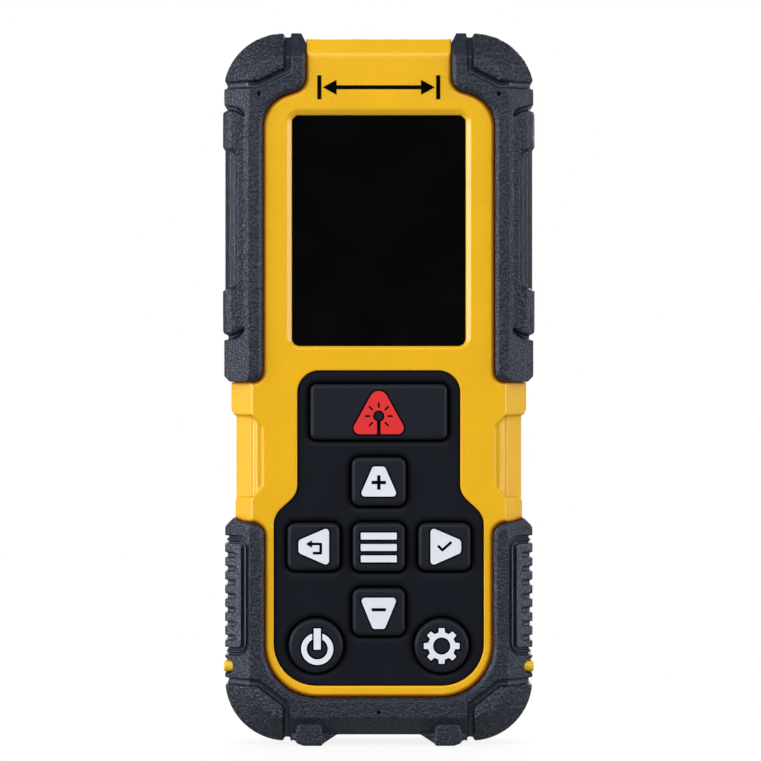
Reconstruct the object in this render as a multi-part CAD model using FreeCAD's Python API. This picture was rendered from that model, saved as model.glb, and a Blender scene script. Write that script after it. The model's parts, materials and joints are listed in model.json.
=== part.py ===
import FreeCAD, Part
import math
import os

# A pocket laser distance meter, in millimetres. It stands upright on its two feet:
# +X is to the right, -Y is the front with the screen and keys, and +Z is up, towards the laser.

os.makedirs("parts", exist_ok=True)

# Driving dimensions
FAR = 40.0                    # half-size of a cutting slab that passes right through the meter
SLIP = 0.05                   # gap of a seated, glued or moulded fit
HEIGHT = 125.0
RUBBER_FRONT = 15.0           # half-depth of the rubber bumpers
RUBBER_CHAMFER = 4.3
RUBBER_LIP = 0.65             # bevel of the rubber's edge beside the yellow housing
GRIP_X = 22.93                # ridge where the side grip begins
GRIP_LOW = 71.6
GRIP_TOP = 111.75
GRIP_GAP = 0.95               # groove between the grip pad and the blocks at its ends
SCOOP_LOW = 79.6              # the shallow scoop in the grip pad
SCOOP_TOP = 104.9
BLOCK_INSET = 0.2             # how far the end blocks stand in from the grip pad's side
UPPER_HALF_WIDTH = 27.35
UPPER_RADIUS = 10.7
LOWER_HALF_WIDTH = 27.0
LOWER_RADIUS = 10.8
LOWER_BASE = 0.7
CAP_GROOVE_WIDTH = 1.15       # groove that sets off each corner cap
CAP_GROOVE_SIDE = 0.7         # and its depth at the side
CAP_GROOVE_FRONT = 1.0        # and at the front
UPPER_GROOVE = ((21.1, 115.75), (15.98, 118.3))     # its turns, (x, z)
LOWER_GROOVE = ((21.1, 11.1), (16.1, 7.2))
CHANNEL_X = 23.43             # middle of the channel round the ribbed grip
CHANNEL_LOW = 16.5
CHANNEL_TOP = 36.1
CHANNEL_WIDTH = 1.35
CHANNEL_DEPTH = 0.75
BEAD_WIDTH = 0.36             # raised line in the middle of the channel
BEAD_INSET = 0.3
RIB_X = 25.1                  # inner end of the slots between the ribs
RIB_TOP = 33.4                # height of the uppermost slot
RIB_PITCH = 2.42
RIB_SLOTS = 7
RIB_SLOT_WIDTH = 0.9
RIB_SLOT_DEPTH = 0.5
FOOT_INNER = 9.8              # inner side of a foot's boss
FOOT_TOP = 3.8
FOOT_HALF_DEPTH = 13.9
FOOT_ROUNDING = 0.35
SOLE_HALF_DEPTH = 12.2
UNDERSIDE_X = 7.3             # where the base starts to slope down to a foot
FOOT_OUTER = 15.2
NUB_Z = 13.85                 # the yellow bars in the sides of the lower bumper
NUB_HALF_LENGTH = 11.65
NUB_HALF_HEIGHT = 0.92
NUB_THICKNESS = 2.15
BODY_FRONT = 14.2             # half-depth of the yellow housing
BODY_HALF_WIDTH = 25.9
BODY_TOP = 124.0
BODY_CHAMFER = 3.8
BODY_TOP_CHAMFER = 2.8
SEAM_BEVEL = 0.5              # bevel of the yellow's edge beside the rubber
CORE_HALF_WIDTH = 25.0        # the housing under the rubber
CORE_FRONT = 13.0
CORE_CHAMFER = 2.6
CORE_LOW = 3.2
CORE_TOP = 122.4
CORE_RADIUS = 8.4
CAVITY_HALF_WIDTH = 22.9
CAVITY_FRONT = 11.8
CAVITY_CHAMFER = 1.7
CAVITY_LOW = 5.2
CAVITY_TOP = 119.5
CAVITY_RADIUS = 6.3
PARTING_Y = 1.0
SEAL_THICKNESS = 0.7
PIN_HOLE = 0.35               # radius of the blind marks in the rubber
PIN_DEPTH = 1.0
UPPER_PIN = (20.96, 114.1)
LOWER_PIN_Z = 5.97

WINDOW_HALF = 15.06
WINDOW_LOW = 70.14
WINDOW_TOP = 110.35
WINDOW_RADIUS = 1.15
WINDOW_BEVEL = 1.15           # how far the opening flares at the top and sides
WINDOW_SILL = 0.5             # and at the bottom
WINDOW_LIP_BACK = -13.4
WINDOW_THICKNESS = 1.2
WINDOW_EDGE = 0.94            # how far the window runs behind the lip

PAD_FRONT = -13.7             # front of the rubber keypad sheet
PAD_BACK = -11.9
KEY_FRONT = -14.7
KEY_GAP = 0.22
KEY_FLANGE_FRONT = -11.7
KEY_FLANGE_BACK = -10.9
KEY_FLANGE_WIDTH = 0.7
KEY_EDGE = 0.8                # rounding of a key's top edge
VALLEY_WIDTH = 0.8            # sloped valley in the sheet round each key
VALLEY_DEPTH = 0.3
PILL_BACK = -10.15
PILL_RADIUS = 2.0
PAD_FLANGE_WIDTH = 1.2

BOARD_FRONT = -9.3
BOARD_BACK = -8.1
BOARD_HALF_WIDTH = 19.6
BOARD_LOW = 8.0
BOARD_TOP = 114.0
GOLD_THICKNESS = 0.08
BEEPER_X = 10.0
BEEPER_Z = 76.5
BEEPER_RADIUS = 4.5
BEEPER_HEIGHT = 3.2

LCD_HALF_WIDTH = 15.2
LCD_LOW = 69.7
LCD_TOP = 111.0
LCD_FRONT = -11.2
LCD_BACK = -10.3
LCD_FRAME_WIDTH = 0.9

TOP_PLATE_HALF_X = 11.4       # the black plate in the top end
TOP_PLATE_HALF_Y = 10.4
TOP_PLATE_LOW = 121.1
TOP_PLATE_TOP = 123.5
FLARE_LOW = 122.3             # where the plate's openings begin to widen
CHASSIS_LOW = 92.0            # the block that carries the laser and the lens
CHASSIS_TOP = 120.9
CHASSIS_FRONT = -6.6
CHASSIS_BACK = 10.2
LENS_SEAT = 116.3
LENS_X = 3.4
LASER_X = -7.6
OPTICS_Y = 1.6
LENS_RADIUS = 7.0
BARREL_RADIUS = 3.0
BARREL_BORE = 2.1
BARREL_LOW = 93.0
BARREL_TOP = 118.0
SENSOR_Z = 89.2               # the receiver board's upper face

CELL_RADIUS = 5.25            # AAA cell
CELL_LENGTH = 44.5
CELL_X = 5.6
CELL_Y = 6.7
CELL_BASE = 13.9              # underside of the right-hand cell
CELL_SHIFT = 1.5              # how much higher the left-hand cell lies
SEAL_LOW = 12.05              # run of the door seal below and above the tray
SEAL_HIGH = 62.75
TRAY_HALF_WIDTH = 12.0
TRAY_LOW = 12.6
TRAY_TOP = 61.2
TRAY_FRONT = 0.2
TRAY_BACK = 12.0
TRAY_WALL = 0.9
CONTACT_THICKNESS = 0.25

DOOR_HALF_WIDTH = 13.6
DOOR_FRONT = 12.2
DOOR_BACK = 13.9
DOOR_TOP = 63.4
DOOR_GAP = 0.25
DOOR_AXIS_Z = 10.7
PIN_RADIUS = 0.5
PIN_LENGTH = 1.3

INSERT_Z = 70.5               # tripod thread
INSERT_RADIUS = 4.2
INSERT_BORE = 2.6
INSERT_FRONT = 5.8
INSERT_BACK = 13.8

SCREW_X = 18.1
HOUSING_SCREW_Z = (52.0, 106.0)
BOARD_SCREW_Z = (60.5, 90.0)
SCREW_SHANK = 0.85
SCREW_HEAD = 1.8
BOSS_RADIUS = 1.85

LABEL_Z = 93.0
LABEL_WIDTH = 26.0
LABEL_HEIGHT = 32.0

# Each key: centre x, centre z, width, height, corner radius
KEYS = {
    "measure": (0.0, 58.5, 24.0, 9.8, 1.1),
    "plus": (0.0, 46.3, 9.5, 8.6, 1.4),
    "menu": (0.0, 34.85, 9.2, 8.6, 1.4),
    "minus": (0.0, 23.5, 9.2, 8.4, 1.4),
    "back": (-11.4, 34.9, 9.2, 8.4, 1.4),
    "ok": (11.5, 34.9, 9.2, 8.4, 1.4),
    "power": (-11.0, 17.6, 9.6, 9.6, 4.79),
    "settings": (11.0, 17.6, 9.6, 9.6, 4.79),
}

V = FreeCAD.Vector
MIRROR_PLANE = (V(0, 0, 0), V(1, 0, 0))


# Building blocks

def rounded(corners, y):
    """A closed wire at depth y through (x, z, radius) corners, each rounded by a tangent arc."""
    count = len(corners)
    arcs = []
    for i, (x, z, radius) in enumerate(corners):
        corner = V(x, y, z)
        before = V(corners[i - 1][0], y, corners[i - 1][1]) - corner
        after = V(corners[(i + 1) % count][0], y, corners[(i + 1) % count][1]) - corner
        before.normalize()
        after.normalize()
        if radius == 0:
            arcs.append((corner, None, corner))
            continue
        half = before.getAngle(after) / 2
        middle = before + after
        middle.normalize()
        cut = radius / math.tan(half)
        reach = radius / math.sin(half) - radius
        arcs.append((corner + before * cut, corner + middle * reach, corner + after * cut))
    edges = []
    for i, (start, top, end) in enumerate(arcs):
        if top is not None:
            edges.append(Part.Arc(start, top, end).toShape())
        following = arcs[(i + 1) % count][0]
        if end.distanceToPoint(following) > 1e-6:
            edges.append(Part.LineSegment(end, following).toShape())
    return Part.Wire(edges)


def slab(corners, y_front, y_back):
    """The rounded outline in X and Z, solid from y_front back to y_back."""
    return Part.Face(rounded(corners, y_front)).extrude(V(0, y_back - y_front, 0))


def symmetric(right_half):
    """The corners of a whole outline from its right half, listed from the top to the bottom."""
    return right_half + [(-x, z, radius) for x, z, radius in reversed(right_half)]


def oblong(half_width, z_low, z_high, radius):
    """The corners of an upright rounded rectangle centred on X = 0."""
    return symmetric([(half_width, z_high, radius), (half_width, z_low, radius)])


def rectangle(centre_x, centre_z, width, height, radius):
    """The corners of a rounded rectangle about a centre."""
    left = centre_x - width / 2
    right = centre_x + width / 2
    low = centre_z - height / 2
    high = centre_z + height / 2
    return [(left, high, radius), (right, high, radius), (right, low, radius), (left, low, radius)]


def grown_slab(corners, amount, y_front, y_back):
    """A slab whose outline stands outside the given one by amount."""
    face = Part.Face(rounded(corners, y_front).makeOffset2D(amount))
    return face.extrude(V(0, y_back - y_front, 0))


def ring_slab(corners, outer, inner, y_front, y_back):
    """A frame between the outline grown by outer and the outline grown by inner."""
    solid = grown_slab(corners, outer, y_front, y_back)
    return solid.cut(grown_slab(corners, inner, y_front - 1, y_back + 1))


def box(x0, x1, y0, y1, z0, z1):
    return Part.makeBox(x1 - x0, y1 - y0, z1 - z0, V(x0, y0, z0))


def rod_y(x, z, radius, y0, y1):
    return Part.makeCylinder(radius, y1 - y0, V(x, y0, z), V(0, 1, 0))


def rod_z(x, y, radius, z0, z1):
    return Part.makeCylinder(radius, z1 - z0, V(x, y, z0), V(0, 0, 1))


def cone_z(x, y, radius_low, radius_high, z0, z1):
    return Part.makeCone(radius_low, radius_high, z1 - z0, V(x, y, z0), V(0, 0, 1))


def mirror_x(shape):
    return shape.mirror(*MIRROR_PLANE)


def both_sides(shape):
    """The shape and its mirror image on the other side of the meter."""
    return Part.makeCompound([shape, mirror_x(shape)])


def fuse(shapes):
    return shapes[0].multiFuse(shapes[1:]).removeSplitter()


def groove_outline(path, width):
    """The outline of a strip of even width along (x, z, radius) points, with mitred or round turns."""
    normals = []
    for start, end in zip(path, path[1:]):
        run = V(end[0] - start[0], 0, end[1] - start[1])
        run.normalize()
        normals.append(V(-run.z, 0, run.x))
    sides = {1: [], -1: []}
    for i, (x, z, radius) in enumerate(path):
        first = normals[max(i - 1, 0)]
        last = normals[min(i, len(normals) - 1)]
        mitre = (first + last) * (1 / (1 + first.dot(last)))
        turn = first.x * last.z - first.z * last.x
        for side, corners in sides.items():
            shift = mitre * (side * width / 2)
            outer = -side if turn > 0 else side
            bend = radius + outer * width / 2 if radius else 0
            corners.append((x + shift.x, z + shift.z, bend))
    return sides[1] + sides[-1][::-1]


def envelope(half_width, half_depth, chamfer, z_low, z_high, radius):
    """A slab with round corners, centred in Y, its front and back edges chamfered at 45 degrees."""
    plain = slab(oblong(half_width, z_low, z_high, radius), -half_depth, half_depth)
    rims = [edge for edge in plain.Edges if abs(abs(edge.CenterOfMass.y) - half_depth) < 1e-6]
    return plain.makeChamfer(chamfer, rims)


def inset_envelope(half_width, z_low, z_high, radius, side, front):
    """The rubber's outer form with its sides and chamfers moved in by side, and its faces by front."""
    chamfer = RUBBER_CHAMFER - side - front + math.sqrt(2) * side
    return envelope(half_width - side, RUBBER_FRONT - front, chamfer, z_low + side, z_high - side,
                    radius - side)


# Regions of the front view

def upper_region(gap):
    """Where the right-hand upper bumper covers the housing, set back from the yellow by gap."""
    inner = 20.27 + gap
    neck = 12.75 + gap
    return [(FAR, 63.7 + gap, 0), (inner, 63.7 + gap, 1.9), (inner, 112.8 + gap, 5.9),
            (neck, 115.05 + gap, 2.7), (neck, HEIGHT + 1, 0), (FAR, HEIGHT + 1, 0)]


def lower_region(gap):
    """Where the lower bumper covers the housing: both sides and the bottom."""
    inner = 20.0 + gap
    return symmetric([(inner, 8.6 - gap, 9.1), (inner, 38.9 - gap, 2.3), (24.7, 39.5 - gap, 0),
                      (25.2, 40.1 - gap, 0), (FAR, 40.1 - gap, 0), (FAR, -1, 0)])


def lipped(region, is_inner):
    """The region as deep as the rubber, its front and back edges beside the yellow bevelled."""
    block = slab(region, -RUBBER_FRONT, RUBBER_FRONT)
    edges = [edge for edge in block.Edges
             if abs(abs(edge.CenterOfMass.y) - RUBBER_FRONT) < 1e-6 and is_inner(edge.BoundBox)]
    return block.makeChamfer(RUBBER_LIP, edges)


def keypad_outline():
    """The keypad: narrow round the measuring key, wide round the other seven."""
    return symmetric([(14.2, 65.66, 3.7), (14.2, 44.2, 3.6), (18.35, 40.3, 3.6), (18.35, 10.62, 7.4)])


def window_outline():
    """The part of the display window that shows."""
    return oblong(WINDOW_HALF, WINDOW_LOW, WINDOW_TOP, WINDOW_RADIUS)


# Rubber bumpers

def upper_form(side, front):
    return inset_envelope(UPPER_HALF_WIDTH, 40.0, HEIGHT, UPPER_RADIUS, side, front)


def lower_form(side, front):
    return inset_envelope(LOWER_HALF_WIDTH, LOWER_BASE, 70.0, LOWER_RADIUS, side, front)


def core(gap):
    """The housing's form under the rubber."""
    return envelope(CORE_HALF_WIDTH + gap, CORE_FRONT + gap, CORE_CHAMFER, CORE_LOW - gap,
                    CORE_TOP + gap, CORE_RADIUS + gap)


def groove(path, width, floor):
    """A cutting tool for a groove along path that goes down to the form floor."""
    return slab(groove_outline(path, width), -FAR, FAR).cut(floor)


def column(front_points):
    """An upright solid beside the grip, between (x, y) points and their mirror images at the back."""
    outline = front_points + [(x, -y) for x, y in reversed(front_points)]
    corners = [V(x, y, GRIP_LOW - 10.0) for x, y in outline]
    return Part.Face(Part.makePolygon(corners + corners[:1])).extrude(V(0, 0, GRIP_TOP - GRIP_LOW + 20.0))


def grip_pad():
    """The long side grip: a step down from the bumper's face, then a nearly flat face, and a scoop."""
    ridge = GRIP_X - 0.1
    low = GRIP_LOW + GRIP_GAP / 2
    top = GRIP_TOP - GRIP_GAP / 2
    pad = column([(0.0, -RUBBER_FRONT), (GRIP_X + 0.02, -RUBBER_FRONT), (GRIP_X + 0.55, -14.35),
                  (26.0, -14.0), (26.9, -13.1), (UPPER_HALF_WIDTH, -11.5)])
    outline = [(ridge, top, 3.3), (ridge, low, 3.3), (FAR, low, 0), (FAR, top, 0)]
    scoop = slab([(FAR, SCOOP_TOP + 0.3, 0), (24.77, SCOOP_TOP - 0.3, 2.4),
                  (24.77, SCOOP_LOW + 0.3, 2.4), (FAR, SCOOP_LOW - 0.3, 0)], -FAR, FAR)
    floor = column([(0.0, -14.3), (24.6, -14.3), (25.1, -13.5), (26.2, -13.0), (26.95, -11.0)])
    return pad.common(slab(outline, -FAR, FAR)).cut(scoop.cut(floor))


def upper_right_bumper():
    """Corner guard and side grip: a domed cap, a long grip pad in its pocket, end blocks."""
    form = upper_form(0, 0)
    groove_z = UPPER_GROOVE[0][1]
    blocks = box(GRIP_X, FAR, -FAR, FAR, 60.0, groove_z - 0.45).cut(upper_form(BLOCK_INSET, 0))
    low = GRIP_LOW - GRIP_GAP / 2
    top = GRIP_TOP + GRIP_GAP / 2
    pocket = [(FAR, top, 0), (GRIP_X, top, 3.8), (GRIP_X, low, 3.8), (FAR, low, 0)]
    pocket = slab(pocket, -FAR, FAR).cut(upper_form(1.0, 0.75))
    form = form.cut(blocks).cut(pocket).fuse(grip_pad()).removeSplitter()
    region = lipped(upper_region(SLIP), lambda edge: edge.XMax < FAR - 1 and edge.ZMax < HEIGHT)
    solid = form.common(region).cut(core(SLIP))
    (turn_x, turn_z), (inner_x, inner_z) = UPPER_GROOVE
    path = [(FAR, turn_z, 0), (turn_x, turn_z, 0), (inner_x, inner_z, 0), (inner_x, HEIGHT + 2, 0)]
    cap_groove = groove(path, CAP_GROOVE_WIDTH, upper_form(CAP_GROOVE_SIDE, CAP_GROOVE_FRONT))
    toe = slab([(12.0, 123.2, 0), (12.85, 123.5, 0), (13.7, HEIGHT + 0.2, 0), (12.0, HEIGHT + 0.2, 0)],
               -FAR, FAR)
    heel = slab([(25.9, 63.5, 0), (27.6, 65.2, 0), (27.6, 63.5, 0)], -FAR, FAR)
    pin_hole = rod_y(*UPPER_PIN, PIN_HOLE, -FAR, PIN_DEPTH - RUBBER_FRONT)
    for tool in (cap_groove, toe, heel, pin_hole):
        solid = solid.cut(tool)
    return solid


def lower_bumper():
    """One boot round both lower corners and the base, with ribbed grips and two feet."""
    region = lipped(lower_region(SLIP), lambda edge: edge.XMax < FAR - 1 and edge.XMin > 1 - FAR)
    solid = lower_form(0, 0).common(region).cut(core(SLIP))
    underside = symmetric([(UNDERSIDE_X, 1.9, 0), (8.6, 1.0, 0), (FOOT_OUTER, 1.0, 0),
                           (FOOT_OUTER, -1.0, 0)])
    solid = solid.cut(slab(underside, -FAR, FAR))
    tools = []
    channel = [(FAR, CHANNEL_TOP, 0), (CHANNEL_X, CHANNEL_TOP, 1.3), (CHANNEL_X, CHANNEL_LOW, 1.3),
               (FAR, CHANNEL_LOW, 0)]
    bead = slab(groove_outline(channel, BEAD_WIDTH), -FAR, FAR).common(lower_form(BEAD_INSET, BEAD_INSET))
    tools.append(groove(channel, CHANNEL_WIDTH, lower_form(CHANNEL_DEPTH, CHANNEL_DEPTH)).cut(bead))
    slot_floor = lower_form(RIB_SLOT_DEPTH, RIB_SLOT_DEPTH)
    for i in range(RIB_SLOTS):
        low = RIB_TOP - i * RIB_PITCH - RIB_SLOT_WIDTH / 2
        tools.append(box(RIB_X, FAR, -FAR, FAR, low, low + RIB_SLOT_WIDTH).cut(slot_floor))
    (turn_x, turn_z), (inner_x, inner_z) = LOWER_GROOVE
    path = [(FAR, turn_z + 0.65, 0), (turn_x, turn_z, 0), (inner_x, inner_z, 0), (inner_x, -1.0, 0)]
    tools.append(groove(path, CAP_GROOVE_WIDTH, lower_form(CAP_GROOVE_SIDE, CAP_GROOVE_FRONT)))
    tools.append(slab([(25.2, 40.2, 0), (27.3, 38.1, 0), (27.3, 41.0, 0)], -FAR, FAR))
    tools.append(side_nub(0.25))
    for tool in tools:
        solid = solid.cut(tool).cut(mirror_x(tool))
    solid = solid.cut(rod_y(0.0, LOWER_PIN_Z, PIN_HOLE, -FAR, PIN_DEPTH - RUBBER_FRONT))
    return fuse([solid, foot(), mirror_x(foot())])


def foot():
    """A foot under one side of the base: a sloped sole and, front and back, a rounded boss."""
    outer = FOOT_OUTER - 0.7
    boss = slab([(FOOT_INNER, FOOT_TOP, 1.3), (outer, FOOT_TOP, 1.3), (outer, 0.5, 0.4),
                 (13.2, 0.0, 0.8), (FOOT_INNER, 0.0, 0.4)], -FOOT_HALF_DEPTH, FOOT_HALF_DEPTH)
    rims = [edge for edge in boss.Edges if abs(abs(edge.CenterOfMass.y) - FOOT_HALF_DEPTH) < 1e-6]
    boss = boss.makeFillet(FOOT_ROUNDING, rims)
    sole = slab([(UNDERSIDE_X, 1.95, 0), (10.2, 0.0, 0.8), (13.2, 0.0, 1.5), (FOOT_OUTER, 1.05, 0),
                 (FOOT_OUTER, 1.95, 0)], -SOLE_HALF_DEPTH, SOLE_HALF_DEPTH)
    return boss.fuse(sole).removeSplitter().cut(core(SLIP))


def side_nub(gap):
    """A yellow bar of the side that shows through a slot in the boot, just above the corner cap."""
    half_length = NUB_HALF_LENGTH + gap
    half_height = NUB_HALF_HEIGHT + gap
    nub = Part.makeBox(NUB_THICKNESS + gap, 2 * half_length, 2 * half_height,
                       V(CORE_HALF_WIDTH + SLIP, -half_length, NUB_Z - half_height))
    ends = [edge for edge in nub.Edges
            if abs(abs(edge.CenterOfMass.y) - half_length) < 1e-6
            and abs(edge.Vertexes[0].X - edge.Vertexes[-1].X) > 1]
    return nub.makeFillet(half_height - 0.02, ends)


# Housing shells

def yellow_form():
    """The housing where the rubber leaves it bare: a chamfered block with a finger recess per side."""
    block = box(-BODY_HALF_WIDTH, BODY_HALF_WIDTH, -BODY_FRONT, BODY_FRONT, 2.0, BODY_TOP)
    upright = [edge for edge in block.Edges if edge.BoundBox.ZLength > 1]
    block = block.makeChamfer(BODY_CHAMFER, upright)
    rims = [edge for edge in block.Edges
            if edge.BoundBox.ZMin > BODY_TOP - 1e-6
            and abs(abs(edge.CenterOfMass.y) - BODY_FRONT) < 1e-6]
    block = block.makeChamfer(BODY_TOP_CHAMFER, rims)
    waist = slab([(25.9, 59.0, 0), (25.3, 57.6, 0), (24.8, 50.0, 0), (24.8, 44.0, 0),
                  (25.15, 42.8, 0), (25.15, 38.0, 0), (FAR, 38.0, 0), (FAR, 59.0, 0)], -FAR, FAR)
    recess_floor = envelope(24.8, BODY_FRONT - 0.45, 3.5, 20.0, 100.0, 5.0)
    recess = slab([(FAR, 58.4, 0), (22.1, 57.9, 0), (20.25, 56.0, 1.0), (20.25, 45.4, 1.0),
                   (22.1, 43.5, 0), (FAR, 43.3, 0)], -FAR, FAR).cut(recess_floor)
    for tool in (waist, recess):
        block = block.cut(tool).cut(mirror_x(tool))
    return block


def seam_bevel(region):
    """Tools that bevel the yellow's front and back edges beside the rubber of a region."""
    front = Part.makeLoft([rounded(region(-SEAM_BEVEL), -BODY_FRONT - 0.01),
                           rounded(region(0), SEAM_BEVEL - BODY_FRONT)], True, True)
    return [front, front.mirror(V(0, 0, 0), V(0, 1, 0))]


def screw_bosses(y_front, y_back):
    """The housing's four screw pillars."""
    pillars = [rod_y(side * SCREW_X, z, BOSS_RADIUS, y_front, y_back)
               for side in (-1, 1) for z in HOUSING_SCREW_Z]
    return pillars


def housing():
    """Both shells as one hollow form, before they are parted."""
    upper = slab(upper_region(0), -FAR, FAR)
    solid = yellow_form().cut(upper).cut(mirror_x(upper)).cut(slab(lower_region(0), -FAR, FAR))
    bevels = seam_bevel(upper_region)
    for bevel in bevels + [mirror_x(bevel) for bevel in bevels] + seam_bevel(lower_region):
        solid = solid.cut(bevel)
    solid = solid.fuse(core(0))
    cavity = envelope(CAVITY_HALF_WIDTH, CAVITY_FRONT, CAVITY_CHAMFER, CAVITY_LOW, CAVITY_TOP,
                      CAVITY_RADIUS)
    solid = solid.cut(cavity)
    solid = solid.cut(box(-11.6, 11.6, -7.0, 10.4, CAVITY_TOP - 1, 122.0))
    return solid.cut(top_plate_form(0.1, BODY_TOP + 1))


def seal_ring(height, grow):
    """The seal's path between the shells, a frame in the middle of the wall."""
    middle = oblong((CORE_HALF_WIDTH + CAVITY_HALF_WIDTH) / 2 - 0.1, (CORE_LOW + CAVITY_LOW) / 2,
                    (CORE_TOP + CAVITY_TOP) / 2, (CORE_RADIUS + CAVITY_RADIUS) / 2)
    width = 0.35 + grow
    return ring_slab(middle, width, -width, PARTING_Y - height / 2, PARTING_Y + height / 2)


def housing_seal():
    """The seal between the shells, open at the top where the optics stand in its way."""
    return seal_ring(SEAL_THICKNESS, 0).cut(box(-11.8, 11.8, -FAR, FAR, CAVITY_TOP - 1, HEIGHT))


def front_housing():
    """The front shell: screen opening, keypad opening, pillars for screws and board."""
    half = box(-FAR, FAR, -FAR, PARTING_Y - 0.05, -1.0, HEIGHT + 1)
    solid = housing().common(half)
    bosses = screw_bosses(-CAVITY_FRONT, PARTING_Y - 0.05)
    posts = [rod_y(side * SCREW_X, z, 1.4, -CAVITY_FRONT, BOARD_FRONT)
             for side in (-1, 1) for z in BOARD_SCREW_Z]
    solid = fuse([solid] + bosses + posts)
    for side in (-1, 1):
        for z in HOUSING_SCREW_Z:
            solid = solid.cut(rod_y(side * SCREW_X, z, SCREW_SHANK + SLIP, -8.0, FAR))
        for z in BOARD_SCREW_Z:
            solid = solid.cut(rod_y(side * SCREW_X, z, 0.6 + SLIP, -11.9, FAR))
    solid = solid.cut(grown_slab(window_outline(), 0.02, -FAR, 0))
    flare = Part.makeLoft([rounded(oblong(WINDOW_HALF + WINDOW_BEVEL, WINDOW_LOW - WINDOW_SILL,
                                          WINDOW_TOP + WINDOW_BEVEL, WINDOW_RADIUS + WINDOW_BEVEL),
                                   -BODY_FRONT - 0.01),
                           rounded(window_outline(), WINDOW_LIP_BACK - 0.05)], True, True)
    solid = solid.cut(flare)
    solid = solid.cut(grown_slab(window_outline(), WINDOW_EDGE + SLIP, WINDOW_LIP_BACK, 0))
    solid = solid.cut(grown_slab(keypad_outline(), SLIP, -FAR, 0))
    return solid.cut(seal_ring(SEAL_THICKNESS + 0.1, 0.1))


def rear_housing():
    """The rear shell: battery door recess, tripod insert boss, screw seats and a label recess."""
    half = box(-FAR, FAR, PARTING_Y + 0.05, FAR, -1.0, HEIGHT + 1)
    solid = housing().common(half)
    frame = box(-DOOR_HALF_WIDTH - 2.4, DOOR_HALF_WIDTH + 2.4, 10.5, 12.5, 7.0, DOOR_TOP + 2.0)
    boss = rod_y(0, INSERT_Z, INSERT_RADIUS + 1.3, INSERT_FRONT - 1.0, 12.5)
    solid = fuse([solid, frame, boss] + screw_bosses(PARTING_Y + 0.05, 12.5))
    recess = rectangle(0, (DOOR_TOP + 9.6) / 2, 2 * (DOOR_HALF_WIDTH + DOOR_GAP),
                       DOOR_TOP - 9.6 + 2 * DOOR_GAP, 1.2)
    solid = solid.cut(slab(recess, DOOR_FRONT - 0.05, FAR))
    solid = solid.cut(box(-TRAY_HALF_WIDTH - 0.1, TRAY_HALF_WIDTH + 0.1, 0, FAR, TRAY_LOW - 0.1,
                          TRAY_TOP + 0.1))
    solid = solid.cut(box(-4.3, 4.3, 10.0, FAR, TRAY_TOP, TRAY_TOP + 1.1))
    thumb = Part.makeCylinder(2.4, 14.0, V(-7.0, BODY_FRONT + 1.2, DOOR_TOP + 0.5), V(1, 0, 0))
    solid = solid.cut(thumb)
    pins = Part.makeCylinder(PIN_RADIUS + SLIP, 2 * (DOOR_HALF_WIDTH + PIN_LENGTH + 0.15),
                             V(-DOOR_HALF_WIDTH - PIN_LENGTH - 0.15, door_axis_y(), DOOR_AXIS_Z),
                             V(1, 0, 0))
    solid = solid.cut(pins)
    solid = solid.cut(rod_y(0, INSERT_Z, INSERT_RADIUS + SLIP, INSERT_FRONT, FAR))
    for side in (-1, 1):
        for z in HOUSING_SCREW_Z:
            solid = solid.cut(rod_y(side * SCREW_X, z, SCREW_SHANK + SLIP, 0, FAR))
            solid = solid.cut(rod_y(side * SCREW_X, z, SCREW_HEAD + 0.15, 12.0, FAR))
    solid = solid.cut(slab(label_outline(0.1), BODY_FRONT - 0.3, FAR))
    solid = solid.cut(door_seal(0.08))
    return solid.cut(seal_ring(SEAL_THICKNESS + 0.1, 0.1))


def door_axis_y():
    return (DOOR_FRONT + DOOR_BACK) / 2


def label_outline(gap):
    return rectangle(0, LABEL_Z, LABEL_WIDTH + 2 * gap, LABEL_HEIGHT + 2 * gap, 1.5)


def side_nubs():
    return both_sides(side_nub(0))


# Display

def display_window():
    return grown_slab(window_outline(), WINDOW_EDGE, WINDOW_LIP_BACK + SLIP,
                      WINDOW_LIP_BACK + SLIP + WINDOW_THICKNESS)


def window_gasket():
    """A foam frame between the window and the display."""
    front = WINDOW_LIP_BACK + 2 * SLIP + WINDOW_THICKNESS
    return ring_slab(window_outline(), WINDOW_EDGE, 0.1, front, -11.65)


def lcd_frame():
    """The black carrier round the display glass and its light guide."""
    outer = oblong(LCD_HALF_WIDTH + LCD_FRAME_WIDTH, LCD_LOW - 1.0, LCD_TOP + 1.0, 1.0)
    solid = slab(outer, LCD_FRONT - 0.4, BOARD_FRONT - SLIP)
    opening = LCD_HALF_WIDTH - 0.8
    solid = solid.cut(box(-opening, opening, -FAR, FAR, LCD_LOW + 1.3, LCD_TOP - 1.0))
    seat = LCD_HALF_WIDTH + 0.1
    return solid.cut(box(-seat, seat, LCD_FRONT - 0.05, FAR, LCD_LOW - 0.1, LCD_TOP + 0.1))


def lcd_panel():
    return box(-LCD_HALF_WIDTH, LCD_HALF_WIDTH, LCD_FRONT, LCD_BACK, LCD_LOW, LCD_TOP)


def lcd_backlight():
    return box(-LCD_HALF_WIDTH, LCD_HALF_WIDTH, LCD_BACK + SLIP, BOARD_FRONT - SLIP, LCD_LOW, LCD_TOP)


def lcd_flex_cable():
    """A thin ribbon from the display's lower edge down and back to the board."""
    half_width = 6.0
    low = 67.2
    back = -9.95
    film = 0.15
    flat = box(-half_width, half_width, back - film, back, low, 68.65)
    drop = box(-half_width, half_width, back, BOARD_FRONT - 0.02, low, low + film)
    return fuse([flat, drop])


# Keypad

def key_outline(name):
    return rectangle(*KEYS[name])


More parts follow.
